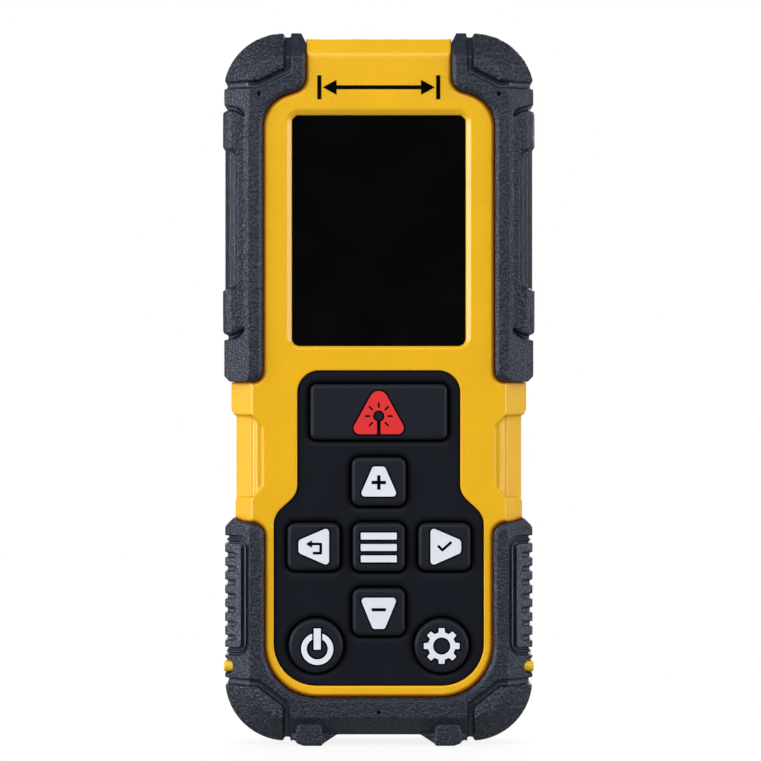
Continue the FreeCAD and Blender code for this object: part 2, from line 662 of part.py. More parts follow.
def key_cap(name):
    """A key: a soft-edged top through the keypad sheet, on a flange that keeps it in."""
    cap = slab(key_outline(name), KEY_FRONT, KEY_FLANGE_BACK)
    rims = [edge for edge in cap.Edges if abs(edge.CenterOfMass.y - KEY_FRONT) < 1e-6]
    cap = cap.makeFillet(KEY_EDGE, rims)
    flange = grown_slab(key_outline(name), KEY_FLANGE_WIDTH, KEY_FLANGE_FRONT, KEY_FLANGE_BACK)
    return cap.fuse(flange).removeSplitter()


def key_pill(name):
    """The carbon pill under a key that closes the contact on the board."""
    centre_x, centre_z = KEYS[name][:2]
    return rod_y(centre_x, centre_z, PILL_RADIUS, KEY_FLANGE_BACK, PILL_BACK)


def keypad_sheet():
    """The rubber sheet round the keys, with a sloped valley at each key and a skirt to the board."""
    solid = slab(keypad_outline(), PAD_FRONT, PAD_BACK)
    skirt = ring_slab(keypad_outline(), PAD_FLANGE_WIDTH, -0.5, -CAVITY_FRONT + 0.02,
                      BOARD_FRONT - SLIP)
    rim = ring_slab(keypad_outline(), 0, -0.5, PAD_BACK - 0.1, -CAVITY_FRONT + 0.3)
    solid = fuse([solid, rim, skirt])
    for name in KEYS:
        outline = key_outline(name)
        solid = solid.cut(grown_slab(outline, KEY_GAP, PAD_FRONT - 1, PAD_BACK + 0.1))
        valley = Part.makeLoft([rounded(outline, PAD_FRONT).makeOffset2D(KEY_GAP + VALLEY_WIDTH),
                                rounded(outline, PAD_FRONT + VALLEY_DEPTH).makeOffset2D(KEY_GAP)],
                               True, True)
        solid = solid.cut(valley)
    return solid


def key_contacts():
    """A pair of gold half-discs on the board behind each key."""
    pads = []
    for centre_x, centre_z, *_ in KEYS.values():
        disc = rod_y(centre_x, centre_z, PILL_RADIUS + 0.5, BOARD_FRONT - GOLD_THICKNESS, BOARD_FRONT)
        slit = box(centre_x - 0.2, centre_x + 0.2, -FAR, FAR, centre_z - 5, centre_z + 5)
        pads.extend(disc.cut(slit).Solids)
    return Part.makeCompound(pads)


# Electronics

def main_board():
    outline = oblong(BOARD_HALF_WIDTH, BOARD_LOW, BOARD_TOP, 4.0)
    solid = slab(outline, BOARD_FRONT, BOARD_BACK)
    for side in (-1, 1):
        for z in HOUSING_SCREW_Z:
            solid = solid.cut(rod_y(side * SCREW_X, z, BOSS_RADIUS + 0.2, -FAR, FAR))
        for z in BOARD_SCREW_Z:
            solid = solid.cut(rod_y(side * SCREW_X, z, 0.7, -FAR, FAR))
    return solid


def board_chips():
    """Processor, memory, driver, power parts and a shield can on the back of the board."""
    chips = [(-9.0, 76.0, 9.0, 9.0, 1.0), (2.5, 79.0, 6.0, 5.0, 0.9), (-1.0, 67.5, 5.0, 4.0, 0.9),
             (-12.5, 63.5, 4.0, 5.0, 1.4), (13.0, 66.0, 5.0, 5.0, 1.2), (-9.0, 100.0, 11.0, 14.0, 1.3)]
    return Part.makeCompound([box(x - w / 2, x + w / 2, BOARD_BACK, BOARD_BACK + t, z - h / 2, z + h / 2)
                              for x, z, w, h, t in chips])


def beeper():
    """A round sounder with a small hole in its cap."""
    back = BOARD_BACK + BEEPER_HEIGHT
    can = rod_y(BEEPER_X, BEEPER_Z, BEEPER_RADIUS, BOARD_BACK, back)
    rims = [edge for edge in can.Edges if abs(edge.CenterOfMass.y - back) < 1e-6]
    return can.makeFillet(0.4, rims).cut(rod_y(BEEPER_X, BEEPER_Z, 0.7, BOARD_BACK + 1.0, 0))


def screw(x, z, seat_y, shank, head, length):
    """A pan-head screw driven forwards, its head's flat at seat_y, with a cross recess."""
    thickness = head * 0.75
    top = rod_y(x, z, head, seat_y, seat_y + thickness)
    rims = [edge for edge in top.Edges if abs(edge.CenterOfMass.y - seat_y - thickness) < 1e-6]
    top = top.makeFillet(thickness * 0.45, rims)
    solid = top.fuse(rod_y(x, z, shank, seat_y - length, seat_y))
    arm = head * 0.62
    slot = head * 0.13
    depth = seat_y + thickness * 0.4
    for half_x, half_z in ((arm, slot), (slot, arm)):
        solid = solid.cut(box(x - half_x, x + half_x, depth, FAR, z - half_z, z + half_z))
    return solid


def screws(z_places, seat_y, shank, head, length):
    return Part.makeCompound([screw(side * SCREW_X, z, seat_y, shank, head, length)
                              for side in (-1, 1) for z in z_places])


# Optics

def top_plate_form(gap, z_top):
    """The optics plate let into the top end."""
    half_x = TOP_PLATE_HALF_X + gap
    half_y = TOP_PLATE_HALF_Y + gap
    low = TOP_PLATE_LOW - gap
    plate = Part.makeBox(2 * half_x, 2 * half_y, z_top - low, V(-half_x, -half_y, low))
    corners = [edge for edge in plate.Edges if edge.BoundBox.XLength + edge.BoundBox.YLength < 1e-6]
    return plate.makeFillet(2.5 + gap, corners)


def optics_plate():
    """Black plate over the laser outlet and the receiving lens, each in a flared opening."""
    plate = top_plate_form(0, TOP_PLATE_TOP)
    for x, radius, flare in ((LENS_X, 6.6, 7.5), (LASER_X, 1.7, 2.7)):
        plate = plate.cut(rod_z(x, OPTICS_Y, radius, CHASSIS_TOP, HEIGHT))
        plate = plate.cut(cone_z(x, OPTICS_Y, radius - 0.1, flare, FLARE_LOW, TOP_PLATE_TOP + 0.01))
    return plate


def optics_chassis():
    """The rigid block that keeps the laser and the receiving lens on parallel axes."""
    solid = box(-TOP_PLATE_HALF_X, TOP_PLATE_HALF_X, CHASSIS_FRONT, CHASSIS_BACK, CHASSIS_LOW, CHASSIS_TOP)
    solid = solid.cut(rod_z(LENS_X, OPTICS_Y, LENS_RADIUS + SLIP, LENS_SEAT, HEIGHT))
    solid = solid.cut(cone_z(LENS_X, OPTICS_Y, 2.4, 6.3, CHASSIS_LOW, LENS_SEAT))
    solid = solid.cut(rod_z(LASER_X, OPTICS_Y, BARREL_RADIUS + SLIP, CHASSIS_LOW - 1.0, HEIGHT))
    return solid


def receiver_lens():
    """A plano-convex glass lens, its crown towards the top."""
    crown_radius = 18.0
    edge_z = 118.4
    sagitta = crown_radius - math.sqrt(crown_radius ** 2 - LENS_RADIUS ** 2)
    disc = rod_z(LENS_X, OPTICS_Y, LENS_RADIUS, LENS_SEAT + SLIP, edge_z + sagitta)
    ball = Part.makeSphere(crown_radius, V(LENS_X, OPTICS_Y, edge_z + sagitta - crown_radius))
    return disc.common(ball)


def lens_ring():
    """The ring that holds the receiving lens down."""
    ring = rod_z(LENS_X, OPTICS_Y, LENS_RADIUS, 120.0, 121.05)
    return ring.cut(cone_z(LENS_X, OPTICS_Y, 6.1, 6.6, 119.9, 121.1))


def laser_barrel():
    """The brass tube that holds the laser diode and its collimating lens."""
    tube = rod_z(LASER_X, OPTICS_Y, BARREL_RADIUS, BARREL_LOW, BARREL_TOP)
    return tube.cut(rod_z(LASER_X, OPTICS_Y, BARREL_BORE, BARREL_LOW - 1.0, BARREL_TOP + 1.0))


def laser_lens():
    disc = rod_z(LASER_X, OPTICS_Y, BARREL_BORE - SLIP, 114.0, 116.6)
    return disc.common(Part.makeSphere(4.5, V(LASER_X, OPTICS_Y, 112.0)))


def laser_diode():
    """A can on a wider base, with three legs."""
    low = BARREL_LOW + 0.4
    top = low + 1.2
    base = rod_z(LASER_X, OPTICS_Y, BARREL_BORE - SLIP, low, top)
    can = rod_z(LASER_X, OPTICS_Y, 1.4, top, top + 3.0)
    spacing = 0.9
    legs = [rod_z(LASER_X + dx, OPTICS_Y + dy, 0.2, low - 3.9, low)
            for dx, dy in ((-spacing, 0), (spacing, 0), (0, spacing))]
    return fuse([base, can] + legs)


def laser_window():
    return rod_z(LASER_X, OPTICS_Y, BARREL_RADIUS, 119.4, 120.4)


def receiver_board():
    return box(LENS_X - 7.0, LENS_X + 7.0, OPTICS_Y - 6.0, OPTICS_Y + 6.0, SENSOR_Z - 1.2, SENSOR_Z)


def receiver_sensor():
    """The photodiode on its small board, looking up the lens bore."""
    top = SENSOR_Z + 1.6
    case = box(LENS_X - 2.5, LENS_X + 2.5, OPTICS_Y - 2.0, OPTICS_Y + 2.0, SENSOR_Z, top)
    return case.cut(rod_z(LENS_X, OPTICS_Y, 0.8, top - 0.3, top + 0.2))


# Batteries and door

def battery_tray():
    """An open tray that holds two cells side by side, open towards the door."""
    solid = box(-TRAY_HALF_WIDTH, TRAY_HALF_WIDTH, TRAY_FRONT, TRAY_BACK, TRAY_LOW, TRAY_TOP)
    inner = box(-TRAY_HALF_WIDTH + TRAY_WALL, TRAY_HALF_WIDTH - TRAY_WALL, TRAY_FRONT + TRAY_WALL,
                FAR, TRAY_LOW + TRAY_WALL, TRAY_TOP - TRAY_WALL)
    return solid.cut(inner)


def cell_span(side):
    """Where a cell's body starts and ends: the two cells lie head to tail."""
    base = CELL_BASE if side > 0 else CELL_BASE + CELL_SHIFT
    return base, base + CELL_LENGTH


def battery(side):
    """A AAA cell: a can with a small positive nipple, up on the left and down on the right."""
    low, high = cell_span(side)
    nipple = 0.9
    x = side * CELL_X
    if side > 0:
        can = rod_z(x, CELL_Y, CELL_RADIUS, low + nipple, high)
        tip = rod_z(x, CELL_Y, 1.9, low, low + nipple)
    else:
        can = rod_z(x, CELL_Y, CELL_RADIUS, low, high - nipple)
        tip = rod_z(x, CELL_Y, 1.9, high - nipple, high)
    rims = [edge for edge in can.Edges if edge.BoundBox.ZLength < 1e-6]
    return can.makeFillet(0.4, rims).fuse(tip)


def battery_contacts():
    """Four sprung-steel plates at the ends of the tray."""
    z_low = TRAY_LOW + TRAY_WALL
    z_high = TRAY_TOP - TRAY_WALL
    plates = []
    for side in (-1, 1):
        x = side * CELL_X
        for z0, z1 in ((z_low, z_low + CONTACT_THICKNESS), (z_high - CONTACT_THICKNESS, z_high)):
            plates.append(box(x - 4.0, x + 4.0, CELL_Y - 4.5, CELL_Y + 4.0, z0, z1))
    return Part.makeCompound(plates)


def battery_springs():
    """The coil spring at each cell's flat end, as a stack of rings of its turns."""
    z_low = TRAY_LOW + TRAY_WALL + CONTACT_THICKNESS
    z_high = TRAY_TOP - TRAY_WALL - CONTACT_THICKNESS
    wire = 0.2
    rings = []
    for side, start, end in ((-1, z_low, cell_span(-1)[0]), (1, z_high, cell_span(1)[1])):
        for i in range(3):
            z = start + (end - start) * (2 * i + 1) / 6
            rings.append(Part.makeTorus(3.4 - 0.5 * i, wire, V(side * CELL_X, CELL_Y, z)))
    return Part.makeCompound(rings)


def door_seal(grow):
    """The rubber ring that the battery door closes on."""
    path = oblong(12.75, SEAL_LOW, SEAL_HIGH, 1.0)
    return ring_slab(path, 0.3 + grow, -0.3 - grow, 11.6 - grow, DOOR_FRONT - 0.06 + grow)


def battery_door():
    """The door: two trunnions at its foot, a tongue at its head and grip ridges outside."""
    z_mid = (DOOR_AXIS_Z + DOOR_TOP) / 2
    height = DOOR_TOP - DOOR_AXIS_Z
    axis_y = door_axis_y()
    half_thickness = (DOOR_BACK - DOOR_FRONT) / 2
    panel = box(-DOOR_HALF_WIDTH, DOOR_HALF_WIDTH, DOOR_FRONT, DOOR_BACK, DOOR_AXIS_Z, DOOR_TOP)
    top_corners = [edge for edge in panel.Edges
                   if edge.BoundBox.YLength > 1 and edge.CenterOfMass.z > z_mid]
    panel = panel.makeFillet(1.0, top_corners)
    foot_end = Part.makeCylinder(half_thickness, 2 * DOOR_HALF_WIDTH,
                                 V(-DOOR_HALF_WIDTH, axis_y, DOOR_AXIS_Z), V(1, 0, 0))
    pins = Part.makeCylinder(PIN_RADIUS, 2 * (DOOR_HALF_WIDTH + PIN_LENGTH),
                             V(-DOOR_HALF_WIDTH - PIN_LENGTH, axis_y, DOOR_AXIS_Z), V(1, 0, 0))
    tongue = box(-4.0, 4.0, DOOR_FRONT - 1.6, DOOR_FRONT, TRAY_TOP + 0.3, TRAY_TOP + 0.9)
    solid = fuse([panel, foot_end, pins, tongue])
    for i in range(5):
        ridge_z = DOOR_AXIS_Z + height - 5.0 - i * 1.6
        solid = solid.cut(box(-6.0, 6.0, DOOR_BACK - 0.4, FAR, ridge_z - 0.4, ridge_z + 0.4))
    return solid


def door_foam():
    """A foam strip inside the door that keeps the cells from rattling."""
    return box(-9.0, 9.0, DOOR_FRONT - 0.2, DOOR_FRONT, 30.0, 38.0)


def tripod_insert():
    """A brass insert with the camera thread, its bore at the thread's root-free minor size."""
    body = rod_y(0, INSERT_Z, INSERT_RADIUS, INSERT_FRONT + SLIP, INSERT_BACK)
    rims = [edge for edge in body.Edges if abs(edge.CenterOfMass.y - INSERT_BACK) < 1e-6]
    body = body.makeChamfer(0.3, rims)
    return body.cut(rod_y(0, INSERT_Z, INSERT_BORE, INSERT_BACK - 7.0, FAR))


def rear_label():
    return slab(label_outline(0), BODY_FRONT - 0.28, BODY_FRONT - 0.08)


# Every piece, by name

PIECES = {
    "front_housing": front_housing,
    "rear_housing": rear_housing,
    "housing_seal": housing_seal,
    "upper_right_bumper": upper_right_bumper,
    "upper_left_bumper": lambda: mirror_x(upper_right_bumper()),
    "lower_bumper": lower_bumper,
    "side_nubs": side_nubs,
    "display_window": display_window,
    "window_gasket": window_gasket,
    "lcd_frame": lcd_frame,
    "lcd_panel": lcd_panel,
    "lcd_backlight": lcd_backlight,
    "lcd_flex_cable": lcd_flex_cable,
    "keypad_sheet": keypad_sheet,
    "key_contacts": key_contacts,
    "main_board": main_board,
    "board_chips": board_chips,
    "beeper": beeper,
    "board_screws": lambda: screws(BOARD_SCREW_Z, BOARD_BACK, 0.6, 1.1, 3.4),
    "housing_screws": lambda: screws(HOUSING_SCREW_Z, 12.0, SCREW_SHANK, SCREW_HEAD, 17.0),
    "optics_plate": optics_plate,
    "optics_chassis": optics_chassis,
    "receiver_lens": receiver_lens,
    "lens_ring": lens_ring,
    "laser_barrel": laser_barrel,
    "laser_lens": laser_lens,
    "laser_diode": laser_diode,
    "laser_window": laser_window,
    "receiver_board": receiver_board,
    "receiver_sensor": receiver_sensor,
    "battery_tray": battery_tray,
    "battery_left": lambda: battery(-1),
    "battery_right": lambda: battery(1),
    "battery_contacts": battery_contacts,
    "battery_springs": battery_springs,
    "door_seal": lambda: door_seal(0),
    "battery_door": battery_door,
    "door_foam": door_foam,
    "tripod_insert": tripod_insert,
    "rear_label": rear_label,
}

for node, make in PIECES.items():
    make().exportStep(f"parts/{node}.step")
for key in KEYS:
    key_cap(key).exportStep(f"parts/key_{key}.step")
    key_pill(key).exportStep(f"parts/pill_{key}.step")
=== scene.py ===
import json
import math

import bmesh
import bpy
import numpy as np
from mathutils import Matrix, Vector


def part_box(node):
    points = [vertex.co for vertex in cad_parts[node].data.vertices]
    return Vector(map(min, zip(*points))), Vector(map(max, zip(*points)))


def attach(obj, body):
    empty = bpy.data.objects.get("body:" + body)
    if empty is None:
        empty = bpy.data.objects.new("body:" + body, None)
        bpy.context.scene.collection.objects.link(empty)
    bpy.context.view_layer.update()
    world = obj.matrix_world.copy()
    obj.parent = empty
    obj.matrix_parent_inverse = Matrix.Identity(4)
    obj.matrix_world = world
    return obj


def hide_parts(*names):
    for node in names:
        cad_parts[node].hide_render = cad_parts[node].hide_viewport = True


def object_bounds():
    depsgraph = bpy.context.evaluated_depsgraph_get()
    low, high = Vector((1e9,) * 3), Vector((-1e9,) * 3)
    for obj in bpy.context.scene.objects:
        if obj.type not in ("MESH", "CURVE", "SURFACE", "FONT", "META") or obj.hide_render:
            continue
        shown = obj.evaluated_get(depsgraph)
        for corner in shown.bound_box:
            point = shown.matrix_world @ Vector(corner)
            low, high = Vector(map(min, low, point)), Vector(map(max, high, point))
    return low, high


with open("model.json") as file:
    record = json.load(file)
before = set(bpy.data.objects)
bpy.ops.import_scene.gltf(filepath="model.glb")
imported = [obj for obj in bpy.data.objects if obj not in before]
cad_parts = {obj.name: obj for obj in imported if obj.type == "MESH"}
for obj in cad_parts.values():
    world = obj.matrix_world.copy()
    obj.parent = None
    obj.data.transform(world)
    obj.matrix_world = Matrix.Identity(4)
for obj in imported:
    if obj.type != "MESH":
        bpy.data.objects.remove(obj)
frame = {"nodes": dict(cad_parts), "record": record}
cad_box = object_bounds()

# The looks of a pocket laser distance meter, in metres. It stands on its feet, facing -Y.

MM = 0.001
SCENE = bpy.context.scene
RECORD = frame["record"]
BODY_OF = {n: body for body, members in RECORD["behaviour"]["bodies"].items() for n in members}
SLOT_OF = {s["node"]: s["material_slot"] for s in RECORD["subparts"]}
KEYS = [name[4:] for name in SLOT_OF if name.startswith("key_") and name != "key_contacts"]
COARSE = 1.0


# Shader building

class Shader:
    """A material with a Principled shader, and short calls for the nodes that feed it."""

    def __init__(self, name, colour, roughness, **sockets):
        self.material = bpy.data.materials.new(name)
        self.material.use_nodes = True
        self.nodes = self.material.node_tree.nodes
        self.links = self.material.node_tree.links
        self.bsdf = self.nodes["Principled BSDF"]
        self.bsdf.inputs["Base Color"].default_value = (*colour, 1)
        self.bsdf.inputs["Roughness"].default_value = roughness
        for socket, value in sockets.items():
            self.bsdf.inputs[socket.replace("_", " ")].default_value = value
        self.place = self.nodes.new("ShaderNodeTexCoord").outputs["Object"]

    def link(self, source, target):
        self.links.new(source, target)

    def stretched(self, x, y, z):
        """Object coordinates scaled along each axis."""
        node = self.nodes.new("ShaderNodeMapping")
        node.inputs["Scale"].default_value = (x, y, z)
        self.link(self.place, node.inputs["Vector"])
        return node.outputs["Vector"]

    def noise(self, size, detail=2.0, roughness=0.5, vector=None):
        """Noise whose grains are about size metres across."""
        node = self.nodes.new("ShaderNodeTexNoise")
        node.inputs["Scale"].default_value = 1 / size
        node.inputs["Detail"].default_value = detail
        node.inputs["Roughness"].default_value = roughness
        self.link(vector or self.place, node.inputs["Vector"])
        return node.outputs["Fac"]

    def cells(self, size, feature="F1"):
        """Cells about size metres across: the distance from each cell's centre."""
        node = self.nodes.new("ShaderNodeTexVoronoi")
        node.feature = feature
        node.inputs["Scale"].default_value = 1 / size
        self.link(self.place, node.inputs["Vector"])
        return node.outputs["Distance"]

    def ramp(self, source, stops):
        """A colour ramp over source: stops are (position, colour) pairs."""
        node = self.nodes.new("ShaderNodeValToRGB")
        elements = node.color_ramp.elements
        while len(elements) < len(stops):
            elements.new(0.5)
        for element, (position, colour) in zip(elements, stops):
            element.position = position
            element.color = (*colour, 1)
        self.link(source, node.inputs["Fac"])
        return node.outputs["Color"]

    def spread(self, source, low, high, from_low=0.3, from_high=0.7):
        """source, which runs from from_low to from_high, as a number from low to high."""
        node = self.nodes.new("ShaderNodeMapRange")
        node.inputs["From Min"].default_value = from_low
        node.inputs["From Max"].default_value = from_high
        node.inputs["To Min"].default_value = low
        node.inputs["To Max"].default_value = high
        self.link(source, node.inputs["Value"])
        return node.outputs["Result"]

    def sum(self, first, second, operation="ADD"):
        node = self.nodes.new("ShaderNodeMath")
        node.operation = operation
        self.link(first, node.inputs[0])
        if isinstance(second, float):
            node.inputs[1].default_value = second
        else:
            self.link(second, node.inputs[1])
        return node.outputs["Value"]

    def along(self, axis):
        """The X, Y or Z of the place on the object, in metres."""
        node = self.nodes.new("ShaderNodeSeparateXYZ")
        self.link(self.place, node.inputs["Vector"])
        return node.outputs[axis]

    def paint_corner_shade(self, colour, tint, reach, low, high):
        """Painted shade: colour, multiplied by tint where other faces stand within reach, where shade falls:
        fully where the openness is low, not at all where it is high."""
        openness = self.nodes.new("ShaderNodeAmbientOcclusion")
        openness.samples = 8
        openness.inputs["Distance"].default_value = reach
        node = self.nodes.new("ShaderNodeMix")
        node.data_type = "RGBA"
        node.blend_type = "MULTIPLY"
        self.link(self.spread(openness.outputs["AO"], 1.0, 0.0, low, high), node.inputs["Factor"])
        self.link(colour, node.inputs["A"])
        node.inputs["B"].default_value = (*tint, 1)
        return node.outputs["Result"]

    def colour_from(self, colour):
        self.link(colour, self.bsdf.inputs["Base Color"])
        return self

    def roughness_from(self, value):
        self.link(value, self.bsdf.inputs["Roughness"])
        return self

    def bump(self, height, depth, strength=1.0):
        """A bump whose full height is depth metres."""
        node = self.nodes.new("ShaderNodeBump")
        node.inputs["Strength"].default_value = strength
        node.inputs["Distance"].default_value = depth
        self.link(height, node.inputs["Height"])
        self.link(node.outputs["Normal"], self.bsdf.inputs["Normal"])
        return self


def shaded(colour, factor):
    return tuple(min(1.0, c * factor) for c in colour)


# Materials

def grained_plastic(name, colour, roughness, grain, depth, variation=0.06, corners=None, **sockets):
    """Moulded plastic: a fine spark-eroded grain, faint clouds in colour and gloss, and painted shade in its
    corners when corners is given.
    """
    shader = Shader(name, colour, roughness, **{"Specular_IOR_Level": 0.35, **sockets})
    clouds = shader.noise(9 * MM, 3.0)
    fine = shader.noise(grain, 3.0, 0.6)
    cloudy = shader.ramp(clouds, [(0.3, shaded(colour, 1 - variation)), (0.7, shaded(colour, 1 + variation))])
    # corners, when given, is painted shade: its tint darkens the colour where other faces stand close
    shader.colour_from(shader.paint_corner_shade(cloudy, *corners) if corners else cloudy)
    shader.roughness_from(shader.spread(fine, roughness - 0.06, roughness + 0.06))
    return shader.bump(fine, depth).material


def yellow_plastic():
    """The housing's plastic: it lets a little light in, and has painted shade, a darker orange, in its
    corners.
    """
    # corners: painted shade, a darker orange where the rubber and other faces stand close
    return grained_plastic("yellow_plastic", (0.77, 0.425, 0.003), 0.3, 0.32 * MM, 0.03 * MM, 0.03,
                           corners=((0.65, 0.34, 0.2), 1.6 * MM, 0.5, 0.9), Specular_IOR_Level=0.5,
                           Subsurface_Weight=0.15, Subsurface_Scale=0.6 * MM,
                           Subsurface_Radius=(1.0, 0.45, 0.05))


def bumper_rubber(name, grain, depth, colour, gloss=0.6):
    """Overmoulded rubber: sharp little pebbles under a finer grain, with painted glints on their tops and
    painted shade between them.
    """
    shader = Shader(name, colour, 0.4, Specular_IOR_Level=gloss, Specular_Tint=(0.74, 0.83, 1.0, 1))
    pebbles = shader.noise(grain, 1.0, 0.5)
    fine = shader.noise(grain / 3, 2.0, 0.6)
    height = shader.sum(pebbles, shader.sum(fine, 0.3, "MULTIPLY"))
    # Painted light: the pebbles' tops are painted up to five times brighter as glints, their hollows darker
    # as shade
    shader.colour_from(shader.ramp(pebbles, [(0.38, shaded(colour, 0.3)), (0.5, colour),
                                             (0.61, shaded(colour, 5.0))]))
    shader.roughness_from(shader.spread(pebbles, 0.46, 0.34))
    return shader.bump(height, depth).material


def key_rubber(name, colour, gloss):
    """Silicone rubber with a matt film, smooth but for a very fine grain, and painted shade darkening its
    corners.
    """
    # corners: painted shade, dark round the keys where the sheet and keys stand close
    return grained_plastic(name, colour, 0.5, 0.18 * MM, 0.004 * MM, 0.08,
                           corners=((0.2, 0.2, 0.2), 1.2 * MM, 0.45, 0.95), Specular_IOR_Level=gloss)


def window_plastic():
    """Polished dark window, with the faintest haze from handling."""
    shader = Shader("window_plastic", (0.0012, 0.0012, 0.0015), 0.06)
    haze = shader.noise(14 * MM, 4.0)
    shader.colour_from(shader.ramp(haze, [(0.35, (0.001, 0.001, 0.0013)), (0.7, (0.0016, 0.0016, 0.002))]))
    shader.roughness_from(shader.spread(haze, 0.05, 0.11))
    return shader.bump(shader.noise(30 * MM, 1.0), 0.004 * MM).material


def metal(name, colour, roughness, grain=(1, 1, 30)):
    """Machined or plated metal, with fine marks along one direction."""
    shader = Shader(name, colour, roughness, Metallic=1.0)
    marks = shader.noise(2.5 * MM, 4.0, 0.6, shader.stretched(*grain))
    shader.colour_from(shader.ramp(marks, [(0.3, shaded(colour, 0.8)), (0.7, shaded(colour, 1.1))]))
    shader.roughness_from(shader.spread(marks, roughness - 0.08, roughness + 0.1))
    return shader.bump(marks, 0.01 * MM, 0.5).material


THREAD_PITCH = 1.27 * MM         # of a 1/4 inch camera thread
WAVE_PERIOD = math.tau / 20      # of Blender's wave texture at scale 1


def threaded_brass():
    """Brass whose bore shows the turns of a camera thread, which runs along Y."""
    shader = Shader("threaded_brass", (0.72, 0.5, 0.2), 0.28, Metallic=1.0)
    marks = shader.noise(1.5 * MM, 3.0)
    shader.colour_from(shader.ramp(marks, [(0.3, (0.6, 0.41, 0.16)), (0.7, (0.78, 0.55, 0.23))]))
    turns = shader.nodes.new("ShaderNodeTexWave")
    turns.bands_direction = "Y"
    turns.inputs["Scale"].default_value = WAVE_PERIOD / THREAD_PITCH
    shader.link(shader.place, turns.inputs["Vector"])
    return shader.bump(turns.outputs["Fac"], 0.5 * MM).material


def circuit_board():
    """Green solder mask over fine copper lines."""
    shader = Shader("circuit_board", (0.02, 0.14, 0.06), 0.3)
    traces = shader.cells(3.2 * MM, "DISTANCE_TO_EDGE")
    shader.colour_from(shader.ramp(traces, [(0.06, (0.05, 0.3, 0.12)), (0.1, (0.016, 0.12, 0.05))]))
    shader.roughness_from(shader.spread(shader.noise(4 * MM), 0.25, 0.4))
    return shader.bump(shader.ramp(traces, [(0.06, (1, 1, 1)), (0.1, (0, 0, 0))]), 0.03 * MM).material


def battery_can():
    """A cell's printed sleeve: dark body, a copper-coloured band at the top and a thin bright ring."""
    shader = Shader("battery_can", (0.02, 0.022, 0.03), 0.28, Metallic=0.6)
    bands = shader.spread(shader.along("Z"), 0.0, 1.0, 13 * MM, 60 * MM)
    shader.colour_from(shader.ramp(bands, [(0.03, (0.6, 0.6, 0.6)), (0.05, (0.02, 0.022, 0.03)),
                                           (0.7, (0.02, 0.022, 0.03)), (0.72, (0.55, 0.28, 0.1)),
                                           (0.96, (0.55, 0.28, 0.1)), (0.98, (0.6, 0.6, 0.6))]))
    return shader.bump(shader.noise(2 * MM, 3.0), 0.01 * MM, 0.4).material


def foam(name, colour):
    """Closed-cell foam."""
    shader = Shader(name, colour, 0.9)
    pores = shader.cells(0.35 * MM)
    shader.colour_from(shader.ramp(pores, [(0.1, shaded(colour, 0.5)), (0.5, shaded(colour, 1.4))]))
    return shader.bump(pores, 0.08 * MM).material


def lens_glass():
    """Coated glass, with a violet bloom that varies over the lens."""
    shader = Shader("lens_glass", (0.85, 0.88, 1.0), 0.02, IOR=1.52)
    shader.bsdf.inputs["Transmission Weight"].default_value = 0.9
    shader.bsdf.inputs["Coat Weight"].default_value = 0.6
    shader.bsdf.inputs["Coat Tint"].default_value = (0.55, 0.45, 1.0, 1)
    bloom = shader.noise(10 * MM, 1.0)
    shader.colour_from(shader.ramp(bloom, [(0.3, (0.72, 0.74, 1.0)), (0.7, (0.9, 0.86, 1.0))]))
    return shader.roughness_from(shader.spread(bloom, 0.01, 0.04)).material


def display_glass():
    """The switched-off display behind the window, with its pixel grid."""
    shader = Shader("display_glass", (0.012, 0.014, 0.013), 0.2)
    grid = shader.cells(0.3 * MM)
    shader.colour_from(shader.ramp(grid, [(0.2, (0.016, 0.018, 0.016)), (0.6, (0.009, 0.01, 0.01))]))
    return shader.bump(grid, 0.002 * MM).material


def ink(name, colour, gloss=0.15):
    """Screen-printed ink: slightly uneven in tone and gloss."""
    return grained_plastic(name, colour, 0.5, 0.12 * MM, 0.003 * MM, 0.03, Specular_IOR_Level=gloss)


YELLOW = yellow_plastic()
NUB_YELLOW = grained_plastic("nub_plastic", (0.86, 0.56, 0.03), 0.3, 0.32 * MM, 0.02 * MM, 0.03)
RUBBER = bumper_rubber("bumper_rubber", 0.42 * MM, 0.2 * MM, (0.0031, 0.004, 0.0078))
CAP_RUBBER = bumper_rubber("cap_rubber", 0.58 * MM, 0.45 * MM, (0.0037, 0.0046, 0.0086))
# Groove, scoop and grip rubbers are paler copies of the bumper rubber: painted light for the light these
# places catch
GROOVE_RUBBER = bumper_rubber("groove_rubber", 0.2 * MM, 0.01 * MM, (0.0052, 0.0062, 0.011))
SCOOP_RUBBER = bumper_rubber("scoop_rubber", 0.3 * MM, 0.03 * MM, (0.0052, 0.0062, 0.011), 0.3)
GRIP_RUBBER = bumper_rubber("grip_rubber", 0.42 * MM, 0.16 * MM, (0.0056, 0.007, 0.0125), 0.8)
KEY_RUBBER = key_rubber("key_rubber", (0.0062, 0.0078, 0.0145), 0.2)
SHEET_RUBBER = key_rubber("sheet_rubber", (0.0042, 0.0056, 0.0105), 0.14)
BLACK_PLASTIC = grained_plastic("black_plastic", (0.012, 0.012, 0.014), 0.45, 0.3 * MM, 0.02 * MM)
DOOR_PLASTIC = grained_plastic("door_plastic", (0.02, 0.0205, 0.024), 0.5, 0.4 * MM, 0.03 * MM)
WHITE_PRINT = ink("white_print", (0.69, 0.715, 0.79))
RED_PRINT = ink("red_print", (0.66, 0.03, 0.032))
GREY_PRINT = ink("grey_print", (0.02, 0.02, 0.022))
BLACK_PRINT = ink("black_print", (0.001, 0.001, 0.0013), 0.02)
STEEL = metal("steel", (0.55, 0.55, 0.56), 0.3)
BRASS = metal("brass", (0.72, 0.5, 0.2), 0.28)
GOLD = metal("gold", (0.85, 0.6, 0.22), 0.25, (1, 1, 1))

